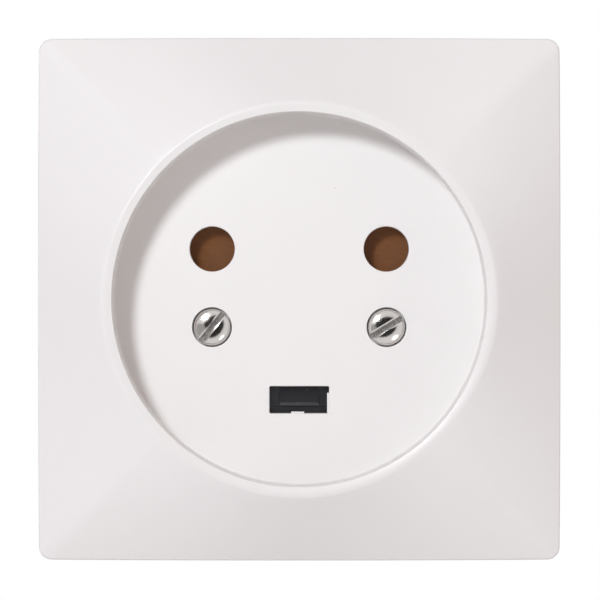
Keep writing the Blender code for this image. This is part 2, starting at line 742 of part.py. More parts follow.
def make_lid_screw(name, degrees):
    head_r = LID_SCREW_HEAD_D / 2
    shank_r = LID_SCREW_SHANK_D / 2
    seat = LID_FRONT - LID_SCREW_HEAD_HEIGHT
    tip = LID_BACK - LID_SCREW_LENGTH
    bm = bmesh.new()
    profile = [(0, LID_FRONT), (head_r, LID_FRONT), (head_r, seat), (shank_r, seat), (shank_r, tip), (0, tip)]
    turned(bm, profile, SMALL_STEPS)
    screw = finished(bm, name, ZINC_STEEL)

    def add_cross(bm):
        half = LID_SCREW_CROSS_WIDTH / 2
        arm = LID_SCREW_CROSS / 2
        bottom = LID_FRONT - LID_SCREW_CROSS_DEPTH
        block(bm, (-arm, arm), (bottom, LID_FRONT + OVERSHOOT), (-half, half))
        block(bm, (-half, half), (bottom, LID_FRONT + OVERSHOOT), (-arm, arm))

    cut(screw, name + "_cross", add_cross)
    x, z = on_ring(LID_SCREW_RING_R, degrees)
    screw.location = (x, 0, z)
    return screw


# Base


def channel_outline(margin, top, bottom):
    """The carriage's outline, with chamfered lower corners, grown by a margin."""
    half = ARM_OUTER_X + margin
    chamfer = CARRIAGE_CHAMFER
    return [
        (half, top + margin),
        (-half, top + margin),
        (-half, bottom - margin + chamfer),
        (-half + chamfer, bottom - margin),
        (half - chamfer, bottom - margin),
        (half, bottom - margin + chamfer),
    ]


def add_base_flats(bm):
    """What the base's rear loses to leave its four flats."""
    reach = BASE_FLANGE_R + OVERSHOOT
    depth = (BASE_BACK - OVERSHOOT, BASE_STEP)
    block(bm, (BASE_SIDE_FLAT, reach), depth, (-reach, reach))
    block(bm, (-reach, -BASE_SIDE_FLAT), depth, (-reach, reach))
    block(bm, (-reach, reach), depth, (BASE_TOP_FLAT, reach))
    block(bm, (-reach, reach), depth, (-reach, -BASE_BOTTOM_FLAT))


def add_rivet_scallops(bm):
    front = BASE_FRONT + OVERSHOOT
    for degrees in RIVET_ANGLES.values():
        x, z = on_ring(RIVET_RING_R, degrees)
        hole_r = RIVET_D / 2 + FASTENER_GAP
        flange_back = BASE_FRONT - BASE_FLANGE
        back = BASE_BACK - OVERSHOOT
        steps = [(0, front), (hole_r, front), (hole_r, flange_back)]
        steps += [(RIVET_SCALLOP_R, flange_back), (RIVET_SCALLOP_R, back), (0, back)]
        turned(bm, steps, SMALL_STEPS, x, z)


def add_shutter_pocket(bm):
    front = BASE_FRONT + OVERSHOOT
    margin = GAP
    half_x = PIN_X + LID_TUBE_OUTER_R + margin
    top = PIN_Z + LID_TUBE_OUTER_R + margin
    bottom = PLATE_BOTTOM - TRAVEL - margin
    block(bm, (-half_x, half_x), (CARRIAGE_FRONT, front), (bottom, top))
    for side in (-1, 1):
        rod(bm, INSERT_BOSS_R + margin, front, PLATE_FRONT, HOLE_STEPS, side * COVER_SCREW_X, COVER_SCREW_Z)


def add_channel(bm):
    outline = channel_outline(GAP, PLATE_TOP, CARRIAGE_BOTTOM - TRAVEL)
    prism(bm, outline, BASE_FRONT + OVERSHOOT, CHANNEL_FLOOR)


def add_contact_bores(bm):
    for side in (-1, 1):
        rod(bm, CONTACT_BORE_R, CARRIAGE_FRONT + OVERSHOOT, BLOCK_BACK - GAP, HOLE_STEPS, side * PIN_X, PIN_Z)


def earth_chamber():
    half_x = EARTH_LEAF_WIDTH / 2 + EARTH_CHAMBER_CLEARANCE
    half_z = EARTH_HALF_SPREAD + EARTH_LEAF + EARTH_CHAMBER_CLEARANCE
    return half_x, half_z


def add_earth_chamber(bm):
    half_x, half_z = earth_chamber()
    depth = (BLOCK_BACK - GAP, CHANNEL_FLOOR + OVERSHOOT)
    block(bm, (-half_x, half_x), depth, (EARTH_Z - half_z, EARTH_Z + half_z))


def add_wire_entries(bm):
    radius = WIRE_ENTRY_D / 2
    for x, z in ((-PIN_X, PIN_Z), (PIN_X, PIN_Z), (0, EARTH_Z)):
        rod(bm, radius, BLOCK_BACK + OVERSHOOT, BASE_BACK - OVERSHOOT, SMALL_STEPS, x, z)


def radial_rod(bm, profile, direction, place):
    """Spins (radius, distance) points about a line that runs out sideways or down from a place."""
    verts = []
    for radius, distance in profile:
        if direction[0]:
            verts.append(bm.verts.new((direction[0] * distance, place[1], place[2] + radius)))
        else:
            verts.append(bm.verts.new((place[0] + radius, place[1], direction[2] * distance)))
    edges = [bm.edges.new(pair) for pair in zip(verts, verts[1:])]
    bmesh.ops.spin(
        bm,
        geom=verts + edges,
        cent=place,
        axis=direction,
        angle=2 * math.pi,
        steps=SMALL_STEPS,
        use_merge=True,
    )


def terminals():
    """Each terminal's name, outward direction, centre and distance to its block's face."""
    return [
        ("left", (-1, 0, 0), (-PIN_X, -BLOCK_MIDDLE, PIN_Z), LINE_BLOCK_FACE),
        ("right", (1, 0, 0), (PIN_X, -BLOCK_MIDDLE, PIN_Z), LINE_BLOCK_FACE),
        ("earth", (0, 0, -1), (0, -BLOCK_MIDDLE, EARTH_Z), EARTH_BLOCK_FACE),
    ]


def add_terminal_pockets(bm):
    for _, direction, place, face in terminals():
        head_r = TERMINAL_SCREW_HEAD_D / 2 + GAP
        shank_r = TERMINAL_SCREW_SHANK_D / 2 + GAP
        seat = face + TERMINAL_WALL
        outer = seat + TERMINAL_POCKET_DEPTH + OVERSHOOT
        profile = [(0, outer), (head_r, outer), (head_r, seat), (shank_r, seat)]
        profile += [(shank_r, face - OVERSHOOT), (0, face - OVERSHOOT)]
        radial_rod(bm, profile, direction, place)


def add_lid_screw_holes(bm):
    for degrees in LID_SCREW_ANGLES.values():
        x, z = on_ring(LID_SCREW_RING_R, degrees)
        radius = LID_SCREW_SHANK_D / 2 + FASTENER_GAP
        back = LID_BACK - LID_SCREW_LENGTH - GAP
        rod(bm, radius, BASE_FRONT + OVERSHOOT, back, SMALL_STEPS, x, z)


def add_spring_post(bm):
    half = SPRING_POST_WIDTH / 2
    front = CARRIAGE_FRONT - GAP
    block(bm, (-half, half), (CHANNEL_FLOOR - OVERSHOOT, front), (POST_BOTTOM, POST_TOP))


def make_base():
    flange_back = BASE_FRONT - BASE_FLANGE
    profile = [(0, BASE_FRONT), (BASE_FLANGE_R, BASE_FRONT), (BASE_FLANGE_R, flange_back)]
    profile += [(BASE_R, flange_back), (BASE_R, BASE_BACK), (0, BASE_BACK)]
    bm = bmesh.new()
    turned(bm, profile, DISC_STEPS)
    base = finished(bm, "base", BLACK_MOULDING)
    cut(base, "base_flats", add_base_flats)
    cut(base, "rivet_scallops", add_rivet_scallops)
    cut(base, "shutter_pocket", add_shutter_pocket)
    cut(base, "carriage_channel", add_channel)
    cut(base, "contact_bores", add_contact_bores)
    cut(base, "earth_chamber", add_earth_chamber)
    cut(base, "terminal_pockets", add_terminal_pockets)
    cut(base, "wire_entries", add_wire_entries)
    cut(base, "lid_screw_holes", add_lid_screw_holes)
    join(base, "spring_post", add_spring_post)
    return base


# Contacts


def add_line_block(bm):
    half = TERMINAL_BLOCK_SIDE / 2
    block(bm, (-half, half), (BLOCK_BACK, BLOCK_FRONT + SLEEVE_WALL), (-half, half))


def add_line_bore(bm):
    radius = SLEEVE_BORE_D / 2
    rod(bm, radius, CONTACT_FRONT + OVERSHOOT, BLOCK_FRONT + 2 * SLEEVE_WALL, HOLE_STEPS)
    rod(bm, WIRE_BORE_D / 2, BLOCK_FRONT - SLEEVE_WALL, BLOCK_BACK - OVERSHOOT, SMALL_STEPS)


def add_sleeve_slits(bm):
    half = SLEEVE_SLIT / 2
    reach = CONTACT_OUTER_R + OVERSHOOT
    depth = (CONTACT_FRONT - SLEEVE_SLIT_LENGTH, CONTACT_FRONT + OVERSHOOT)
    block(bm, (-reach, reach), depth, (-half, half))
    block(bm, (-half, half), depth, (-reach, reach))


def make_line_contact(name, side):
    """A split brass sleeve for a round pin, with a terminal block behind it."""
    bm = bmesh.new()
    rod(bm, CONTACT_OUTER_R, CONTACT_FRONT, BLOCK_FRONT, HOLE_STEPS)
    contact = finished(bm, name, BRASS)
    join(contact, name + "_block", add_line_block)
    cut(contact, name + "_bore", add_line_bore)
    cut(contact, name + "_slits", add_sleeve_slits)

    def add_screw_hole(bm):
        radius = TERMINAL_SCREW_SHANK_D / 2 + FASTENER_GAP
        reach = TERMINAL_BLOCK_SIDE / 2 + OVERSHOOT
        profile = [(0, reach), (radius, reach), (radius, 0), (0, 0)]
        radial_rod(bm, profile, (side, 0, 0), (0, -BLOCK_MIDDLE, 0))

    cut(contact, name + "_screw_hole", add_screw_hole)
    contact.location = (side * PIN_X, 0, PIN_Z)
    return contact


def make_contact_ring(name, side):
    """An open spring ring that squeezes the split sleeve."""
    inner = CONTACT_OUTER_R + FASTENER_GAP
    outer = inner + CONTACT_RING_WALL
    start = math.degrees(CONTACT_RING_OPENING) / 2
    outline = arc((0, 0), outer, start, 360 - start, HOLE_STEPS)
    outline += arc((0, 0), inner, 360 - start, start, HOLE_STEPS)
    front = CONTACT_FRONT - CONTACT_RING_SETBACK
    bm = bmesh.new()
    prism(bm, outline, front, front - CONTACT_RING_WIDTH)
    ring = finished(bm, name, SPRING_STEEL)
    ring.location = (side * PIN_X, 0, PIN_Z)
    ring.rotation_euler = (0, math.pi / 4, 0)
    return ring


def leaf_outline(level):
    """One leaf of the earth clip as (height, z) points: a flared mouth, the jaw and the spread root."""
    mouth = EARTH_MOUTH / 2
    jaw = EARTH_JAW / 2
    root = EARTH_HALF_SPREAD
    pinch = EARTH_FRONT - EARTH_PINCH_DEPTH
    bend = EARTH_FRONT - EARTH_JAW_LENGTH
    back = BLOCK_FRONT - EARTH_LEAF
    inner = [(EARTH_FRONT, mouth), (pinch, jaw), (bend, root), (back, root)]
    outer = [(height, offset + EARTH_LEAF) for height, offset in reversed(inner)]
    return [(height, EARTH_Z + level * offset) for height, offset in inner + outer]


def make_earth_contact():
    """A brass clip with two leaves that grip the flat earth blade, and its terminal block."""
    half = EARTH_LEAF_WIDTH / 2
    side_face = EARTH_HALF_SPREAD + EARTH_LEAF
    bm = bmesh.new()
    block(bm, (-half, half), (BLOCK_BACK, BLOCK_FRONT), (EARTH_Z - side_face, EARTH_Z + side_face))
    contact = finished(bm, "earth_contact", BRASS)

    def add_leaves(bm):
        for level in (-1, 1):
            side_prism(bm, leaf_outline(level), FASTENER_GAP - half, half - FASTENER_GAP)

    def add_wire_bore(bm):
        rod(bm, WIRE_BORE_D / 2, BLOCK_FRONT + OVERSHOOT, BLOCK_BACK - OVERSHOOT, SMALL_STEPS, 0, EARTH_Z)

    def add_screw_hole(bm):
        radius = TERMINAL_SCREW_SHANK_D / 2 + FASTENER_GAP
        outer = -EARTH_Z + side_face + OVERSHOOT
        profile = [(0, outer), (radius, outer), (radius, -EARTH_Z), (0, -EARTH_Z)]
        radial_rod(bm, profile, (0, 0, -1), (0, -BLOCK_MIDDLE, EARTH_Z))

    join(contact, "earth_leaves", add_leaves)
    cut(contact, "earth_wire_bore", add_wire_bore)
    cut(contact, "earth_screw_hole", add_screw_hole)
    return contact


def make_terminal_screw(name, direction, place, face):
    head_r = TERMINAL_SCREW_HEAD_D / 2
    shank_r = TERMINAL_SCREW_SHANK_D / 2
    seat = face + TERMINAL_WALL + GAP
    top = seat + TERMINAL_SCREW_HEAD
    centre = abs(place[0]) if direction[0] else -place[2]
    tip = centre + WIRE_BORE_D / 2 - FASTENER_GAP
    tip = min(tip, face - FASTENER_GAP)
    profile = [(0, top), (head_r, top), (head_r, seat), (shank_r, seat), (shank_r, tip), (0, tip)]
    bm = bmesh.new()
    radial_rod(bm, profile, direction, place)
    screw = finished(bm, name, ZINC_STEEL)

    def add_slot(bm):
        half = TERMINAL_SCREW_SLOT / 2
        bottom = top - TERMINAL_SCREW_HEAD / 2
        along = (place[1] - head_r - OVERSHOOT, place[1] + head_r + OVERSHOOT)
        depth = (-along[1], -along[0])
        if direction[0]:
            x = sorted((direction[0] * bottom, direction[0] * (top + OVERSHOOT)))
            block(bm, x, depth, (place[2] - half, place[2] + half))
        else:
            block(bm, (-half, half), depth, (-top - OVERSHOOT, -bottom))

    cut(screw, name + "_slot", add_slot)
    return screw


# Shutter


def add_plate_rivet_holes(bm):
    radius = SHUTTER_RIVET_D / 2 + FASTENER_GAP
    for side in (-1, 1):
        x, z = rivet_place(side)
        rod(bm, radius, PLATE_FRONT + OVERSHOOT, CARRIAGE_BACK - OVERSHOOT, SMALL_STEPS, x, z)


def rivet_place(side):
    """Where a rivet holds the plate on the carriage: the corner of the arm and the top bar."""
    return side * (ARM_INNER_X + ARM_OUTER_X) / 2, PLATE_TOP - CARRIAGE_TOP_BAR / 2


def make_shutter_plate():
    """The brown insulating board that covers both pin holes."""
    centre_z = (PLATE_TOP + PLATE_BOTTOM) / 2
    half_z = (PLATE_TOP - PLATE_BOTTOM) / 2
    bm = bmesh.new()
    outline = rounded_rectangle(PLATE_HALF_WIDTH, half_z, SHUTTER_CORNER_R, 0, centre_z)
    prism(bm, outline, PLATE_FRONT, PLATE_BACK)
    plate = finished(bm, "shutter_plate", BROWN_BOARD)
    cut(plate, "plate_rivet_holes", add_plate_rivet_holes)
    return plate


def wedge_outline():
    """The wedge from the side as (height, z) points, from its ridge round to the top of its slope."""
    nose = BASE_FRONT - WEDGE_SETBACK
    back = CARRIAGE_BACK + FASTENER_GAP
    foot_front = CARRIAGE_FRONT - FASTENER_GAP
    foot = WEB_TOP - CARRIAGE_WEB / 2
    return [
        (nose, NOSE_RIDGE),
        (nose, NOSE_BOTTOM),
        (foot_front, NOSE_BOTTOM),
        (foot_front, foot),
        (back, foot),
        (back, WEDGE_TOP),
        (back + WEDGE_TIP_DEPTH, WEDGE_TOP),
    ]


def add_wedge(bm):
    side_prism(bm, wedge_outline(), -WEDGE_WIDTH / 2, WEDGE_WIDTH / 2)


def add_carriage_window(bm):
    depth = (CARRIAGE_BACK - OVERSHOOT, CARRIAGE_FRONT + OVERSHOOT)
    block(bm, (-ARM_INNER_X, ARM_INNER_X), depth, (WEB_TOP, TOP_BAR_BOTTOM))


def make_carriage():
    """The black slide: two arms, a top bar, a web and the wedge that the earth blade pushes down."""
    bm = bmesh.new()
    prism(bm, channel_outline(0, PLATE_TOP, CARRIAGE_BOTTOM), CARRIAGE_FRONT, CARRIAGE_BACK)
    carriage = finished(bm, "shutter_carriage", BLACK_SLIDE)
    cut(carriage, "carriage_window", add_carriage_window)
    join(carriage, "carriage_wedge", add_wedge)
    cut(carriage, "carriage_rivet_holes", add_plate_rivet_holes)
    return carriage


def make_shutter_rivet(name, side):
    radius = SHUTTER_RIVET_D / 2
    head_r = SHUTTER_RIVET_HEAD_D / 2
    front = PLATE_FRONT + FASTENER_GAP
    back = CARRIAGE_BACK + FASTENER_GAP
    profile = [(0, front + SHUTTER_RIVET_HEAD), (head_r, front + SHUTTER_RIVET_HEAD), (head_r, front)]
    profile += [(radius, front), (radius, back), (0, back)]
    x, z = rivet_place(side)
    bm = bmesh.new()
    turned(bm, profile, SMALL_STEPS, x, z)
    return finished(bm, name, BRASS)


def make_spring():
    """A compression spring from the base's post up to the carriage's top bar."""
    radius = SPRING_MEAN_D / 2
    low = POST_TOP + GAP + SPRING_WIRE_D / 2
    high = TOP_BAR_BOTTOM - GAP - SPRING_WIRE_D / 2
    count = SPRING_TURNS * SPRING_STEPS
    curve = bpy.data.curves.new("shutter_spring", "CURVE")
    curve.dimensions = "3D"
    curve.bevel_depth = SPRING_WIRE_D / 2
    curve.bevel_resolution = 0
    curve.use_fill_caps = True
    spline = curve.splines.new("POLY")
    spline.points.add(count)
    for i, point in enumerate(spline.points):
        turn = 2 * math.pi * SPRING_TURNS * i / count
        x = radius * math.cos(turn)
        y = radius * math.sin(turn) - SPRING_HEIGHT
        point.co = (x, y, low + (high - low) * i / count, 1)
    curve.materials.append(material(SPRING_STEEL))
    spring = bpy.data.objects.new("shutter_spring", curve)
    bpy.context.scene.collection.objects.link(spring)
    return spring


def group(name, location, members):
    """An empty that carries these objects and leaves them where they are."""
    empty = bpy.data.objects.new(name, None)
    empty.location = location
    bpy.context.scene.collection.objects.link(empty)
    for member in members:
        member.parent = empty
        member.location = [at - start for at, start in zip(member.location, location)]
    return empty


def main():
    clear_scene()
    fixed = [make_frame(), make_cover(), make_strap(), make_base(), make_lid(), make_earth_contact()]
    fixed.append(make_cover_screw("cover_screw_left", -1, LEFT_SLOT_ANGLE))
    fixed.append(make_cover_screw("cover_screw_right", 1, RIGHT_SLOT_ANGLE))
    for side, word in ((-1, "left"), (1, "right")):
        fixed.append(make_insert("threaded_insert_" + word, side))
        fixed.append(make_line_contact("line_contact_" + word, side))
        fixed.append(make_contact_ring("contact_ring_" + word, side))
    for word, direction, place, face in terminals():
        fixed.append(make_terminal_screw("terminal_screw_" + word, direction, place, face))
    for word, degrees in RIVET_ANGLES.items():
        fixed.append(make_strap_rivet("strap_rivet_" + word, degrees))
    for word, degrees in LID_SCREW_ANGLES.items():
        fixed.append(make_lid_screw("lid_screw_" + word, degrees))
    fixed.append(make_spring())
    group("socket", (0, 0, 0), fixed)
    moving = [make_shutter_plate(), make_carriage()]
    moving.append(make_shutter_rivet("shutter_rivet_left", -1))
    moving.append(make_shutter_rivet("shutter_rivet_right", 1))
    group("shutter", (0, -SPRING_HEIGHT, 0), moving)


main()
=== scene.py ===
"""Finished looks of a flush wall socket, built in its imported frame.

Metres, +Z up, +X to the right. The front faces -Y, and the plane Y = 0 is the wall's surface. A height is a
distance from that plane towards the room, so what lies inside the wall has a negative height.
"""

import json
import math
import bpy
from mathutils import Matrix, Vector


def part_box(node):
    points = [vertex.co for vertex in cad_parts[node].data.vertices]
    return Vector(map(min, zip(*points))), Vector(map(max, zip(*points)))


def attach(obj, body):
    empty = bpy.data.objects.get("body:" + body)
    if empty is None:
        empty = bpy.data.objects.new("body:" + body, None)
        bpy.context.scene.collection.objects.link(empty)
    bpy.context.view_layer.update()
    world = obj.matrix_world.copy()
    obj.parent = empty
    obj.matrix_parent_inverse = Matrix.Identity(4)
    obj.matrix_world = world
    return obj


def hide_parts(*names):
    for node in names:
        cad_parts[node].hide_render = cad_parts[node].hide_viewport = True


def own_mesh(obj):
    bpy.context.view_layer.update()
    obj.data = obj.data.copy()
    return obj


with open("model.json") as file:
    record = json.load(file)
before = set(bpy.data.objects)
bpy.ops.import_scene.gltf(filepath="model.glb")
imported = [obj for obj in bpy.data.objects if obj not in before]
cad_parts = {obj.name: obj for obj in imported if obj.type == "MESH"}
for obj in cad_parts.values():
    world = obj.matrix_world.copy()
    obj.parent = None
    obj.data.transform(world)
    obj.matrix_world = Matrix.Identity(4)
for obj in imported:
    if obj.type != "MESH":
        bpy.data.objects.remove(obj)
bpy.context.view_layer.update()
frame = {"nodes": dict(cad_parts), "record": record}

from types import SimpleNamespace

import bmesh
import bpy
from bpy.props import FloatProperty, FloatVectorProperty, IntProperty, PointerProperty
from bpy.types import Operator, Panel, PropertyGroup
from mathutils import Matrix, Vector

bl_info = {
    "name": "Flush wall socket",
    "version": (1, 0, 0),
    "blender": (4, 5, 0),
    "location": "3D View > Sidebar > Socket",
    "description": "Builds the finished pieces of a flush wall socket round its packed frame",
    "category": "Object",
}

MM = 0.001
FRAME_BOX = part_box("frame")
# Vertices closer than this become one.
WELD = 0.000001
# Keeps two surfaces of a boolean from lying in one plane.
TUCK = 0.000002
# How far a cutter reaches out of what it cuts.
OVERSHOOT = 0.001
# How far joined shapes reach into each other.
BITE = 0.0002
# Gap under the head of a cover screw.
SEAT_GAP = 0.2 * MM
# Faces that meet at less than this are one plane, and at more than SHARP they form an edge.
FLAT = math.radians(0.2)
SHARP = math.radians(32)
# Facets round a shape, and along one turn of the spring.
HOLE_FACETS = 72
OPENING_FACETS = 128
RIVET_FACETS = 32
RIVET_HOLE_FACETS = 24
STRAP_RIVET_FACETS = 40
COIL_FACETS = 28
WIRE_FACETS = 10
SIDES = {"left": -1, "right": 1}
RIVET_ANGLES = {"upper_right": 45, "upper_left": 135, "lower_left": 225, "lower_right": 315}
# Directions from the socket's middle towards the lamps and cards.
KEY_WAY = (-0.316, -1, 0.339)
SHUTTER_WAY = (-0.2035, -1, 0.2125)
FRONT_WAY = (0, -1, 0)
SIDE_WAY = (1, -0.577, 0)
LOW_WAY = (0.37, -1, -0.43)
LEFT_WAY = (-0.50, -1, -0.12)


def length(name, description, millimetres):
    """A size in millimetres, kept in metres."""
    return FloatProperty(
        name=name, description=description, default=millimetres * MM, min=0, unit="LENGTH", precision=5
    )


def turn(name, description, degrees):
    """An angle in degrees, kept in radians."""
    return FloatProperty(name=name, description=description, default=math.radians(degrees), subtype="ANGLE")


def colour(name, description, value):
    """A linear colour."""
    return FloatVectorProperty(name=name, description=description, default=value, min=0, max=1, subtype="COLOR")


def share(name, description, value):
    """A number from 0 to 1."""
    return FloatProperty(name=name, description=description, default=value, min=0, max=1, subtype="FACTOR")


def power(name, description, watts):
    """The power of a lamp."""
    return FloatProperty(name=name, description=description, default=watts, min=0, unit="POWER")


def count(name, description, value):
    """A number of facets or turns."""
    return IntProperty(name=name, description=description, default=value, min=3)


# Sizes and colours


class SocketFrameSizes(PropertyGroup):
    side: FloatProperty(
        name="Side",
        description="Width and height of the frame, from the packed frame",
        default=FRAME_BOX[1].x - FRAME_BOX[0].x,
        unit="LENGTH",
        precision=5,
    )
    height: FloatProperty(
        name="Height",
        description="How far the lip stands off the wall, from the packed frame",
        default=-FRAME_BOX[0].y,
        unit="LENGTH",
        precision=5,
    )
    corner: length("Corner radius", "Radius of the four corners", 1.9)
    bow: length("Bow", "How far each side bows out in its middle", 0.2)
    wall: length("Wall", "Thickness of the shell", 1.8)
    edge_height: length("Edge height", "Height of the slopes near the outer edge", 8.5)
    edge_inset: length("Edge inset", "From the side to where the slopes have the edge height", 1.4)
    edge_round: length("Edge rounding", "Radius of the outer edge", 0.4)
    foot_round: length("Foot rounding", "Radius of the edge on the wall", 0.12)
    lip_radius: length("Lip radius", "Radius of the lip's mouth", 28.3)
    lip_width: length("Lip width", "From the lip's mouth to the collar", 1.6)
    lip_crest: length("Lip crest", "From the lip's mouth to its crest", 1.02)
    lip_drop: length("Lip drop", "How far the mouth lies below the crest", 0.24)
    lip_round: length("Lip mouth rounding", "Radius of the mouth's edge", 0.10)
    lip_blend: length("Lip blend", "Radius of the rounding from the crest to the slope", 1.2)
    lip_depth: length("Lip depth", "Thickness of the lip", 1.8)
    collar_wall: length("Collar wall", "Thickness of the collar round the cover", 1.2)
    collar_depth: length("Collar depth", "Depth of the collar below the lip", 5.5)
    leg_inset: length("Leg inset", "From the frame's side to a clip leg's inner face", 4.2)
    leg_wall: length("Leg wall", "Thickness of a clip leg", 1.2)
    leg_width: length("Leg width", "Width of a clip leg", 8.0)
    leg_offset: length("Leg offset", "Distance of a clip leg from the middle", 22.0)
    leg_lift: length("Leg lift", "Gap between a clip leg and the wall", 1.0)
    barb: length("Barb", "How far a leg's barb stands out", 0.8)
    barb_width: length("Barb width", "Width of a leg's barb", 5.0)
    barb_low: length("Barb foot", "Height at which a barb starts", 3.1)
    barb_high: length("Barb top", "Height at which a barb ends", 4.9)
    side_steps: count("Side steps", "Facets along half a side", 26)
    corner_steps: count("Corner steps", "Facets round a corner", 14)


class SocketCoverSizes(PropertyGroup):
    floor_height: length("Floor height", "Height of the recess's floor", 4.5)
    floor_wall: length("Floor wall", "Thickness of the floor", 2.2)
    floor_radius: length("Floor radius", "Radius of the recess at its floor", 28.55)
    rim_radius: length("Rim radius", "Radius of the recess at its rim", 28.6)
    rim_round: length("Rim rounding", "Radius of the rim's edge", 0.12)
    outer_radius: length("Outer radius", "Radius of the cover's outside", 29.6)
    rim_height: length("Rim height", "Height of the rim, under the lip", 12.9)
    fillet: length("Fillet", "Radius between the floor and the wall", 0.3)
    foot_chamfer: length("Foot chamfer", "Chamfer of the rear edge", 0.8)
    mouth_round: length("Mouth rounding", "Radius of the edges of the holes", 0.15)
    pin_circle: length("Pin circle", "Radius on which the pin holes lie", 15.5)
    pin_angle: turn("Pin angle", "How far the pin holes lie above the middle", 30.0)
    pin_hole: length("Pin hole", "Diameter of a pin hole", 6.96)
    slot_width: length("Slot width", "Width of the earth slot", 9.2)
    slot_height: length("Slot height", "Height of the earth slot", 4.2)
    slot_corner: length("Slot corner", "Radius of the slot's corners", 0.2)
    slot_step: length("Slot step", "How far the slot's right side steps in", 0.3)
    slot_step_height: length("Step height", "Height of that step, from the slot's lower edge", 3.15)
    flash_height: length("Flash", "Height of the flash on the slot's lower edge", 0.26)
    flash_left: length("Flash left", "From the middle to the left end of the flash", 1.25)
    flash_right: length("Flash right", "From the middle to the right end of the flash", 0.75)
    flash_inset: length("Flash inset", "How far the step and the flash lie behind the floor", 0.25)
    flash_rear: length("Flash rear", "How far they end in front of the floor's rear", 0.3)
    screw_x: length("Screw distance", "Distance of a cover screw from the middle line", 13.45)
    screw_drop: length("Screw drop", "How far the cover screws lie below the middle", 4.3)
    counterbore: length("Counterbore", "Depth of the recess round a screw's head", 1.2)
    counterbore_margin: length("Counterbore margin", "Gap round a screw's head", 0.2)
    counterbore_round: length("Counterbore rounding", "Radius of the edge of that recess", 0.09)
    shank_margin: length("Shank margin", "Gap round a screw's shank", 0.3)
    steps: count("Steps", "Facets round the cover", 160)


class SocketScrewSizes(PropertyGroup):
    head: length("Head", "Diameter of the head", 5.7)
    crown: length("Crown", "How far the head stands above the floor", 0.9)
    dome: length("Dome radius", "Radius of the head's flat dome", 10.5)
    shoulder: length("Shoulder radius", "Radius of the head's edge", 0.7)
    shank: length("Shank", "Diameter of the shank", 3.4)
    slot: length("Slot", "Width of the screwdriver slot", 0.85)
    slot_depth: length("Slot depth", "Depth of the screwdriver slot", 1.1)
    slot_round: length("Slot edge", "Rounding of the slot's edges", 0.09)
    # The slot's floor keeps its milled roughness and its painted shade up to this rise.
    slot_milled: length("Milled rise", "How far the milled finish rises from the slot's floor", 0.05)
    burr_width: length("Burr width", "Width of the burr along the slot", 0.22)
    burr_height: length("Burr height", "Height of the burr along the slot", 0.05)
    flat_share: share("Flatness", "How much flatter the dome runs along the slot than across it", 0.14)
    left_turn: turn("Left slot", "Angle of the left screw's slot", 51.5)
    right_turn: turn("Right slot", "Angle of the right screw's slot", 31.0)
    tip_height: length("Tip", "Depth of the shank's end behind the wall's surface", 2.1)
    steps: count("Steps", "Facets round a screw", 96)


class SocketShutterSizes(PropertyGroup):
    plate_depth: length("Board depth", "How far the board's face lies behind the wall's surface", 2.7)
    plate_thickness: length("Board thickness", "Thickness of the board", 1.6)
    plate_margin: length("Board margin", "How far the board reaches past a pin hole", 0.35)
    plate_corner: length("Board corner", "Radius of the board's corners", 0.9)
    plate_round: length("Board rounding", "Radius of the board's edges", 0.08)
    carriage_depth: length("Slide depth", "Thickness of the slide", 3.7)
    carriage_round: length("Slide rounding", "Radius of the slide's edges", 0.06)
    arm: length("Arm", "Width of the slide's arms", 1.7)
    arm_place: length("Arm place", "Distance of an arm from the middle", 5.0)
    top_bar: length("Top bar", "Height of the slide's top bar", 2.1)
    web: length("Web", "Height of the slide's lower web", 1.2)
    chamfer: length("Chamfer", "Chamfer of the slide's lower corners", 2.0)
    wedge_width: length("Wedge width", "Width of the wedge behind the earth slot", 6.1)
    nose_height: length("Nose height", "Height of the wedge's blunt nose", 0.5)
    nose_drop: length("Nose drop", "How far the nose lies below the slot's middle", 1.1)
    nose_depth: length("Nose depth", "How far the nose lies behind the wall's surface", 0.7)
    wedge_rise: length("Wedge rise", "From the slot's middle up to the wedge's end", 5.7)
    wedge_tip: length("Wedge tip", "Thickness of the wedge's upper end", 0.6)
    shelf: length("Shelf", "Thickness of the shelves beside the wedge", 1.0)
    shelf_rise: length("Shelf rise", "From the slot's middle up to the shelves' end", 2.0)
    gap: length("Gap", "Clearance between the board and the slide", 0.3)
    rivet: length("Rivet", "Diameter of the rivets", 1.2)
    rivet_head: length("Rivet head", "Diameter of the rivets' heads", 2.3)
    rivet_rise: length("Rivet rise", "Height of the rivets' heads", 0.4)
    rivet_round: length("Rivet rounding", "Radius of the edges of the rivets' heads", 0.24)
    rivet_margin: length("Rivet margin", "Gap round a rivet's shank", 0.05)
    rivet_gap: length("Rivet gap", "Gap under a rivet's head, and from its end to the slide's rear", 0.2)
    spring: length("Spring", "Mean diameter of the return spring", 3.0)
    wire: length("Wire", "Diameter of the spring's wire", 0.5)
    turns: count("Turns", "Turns of the return spring", 9)
    post_rise: length("Post", "Depth below the middle at which the spring starts", 7.0)


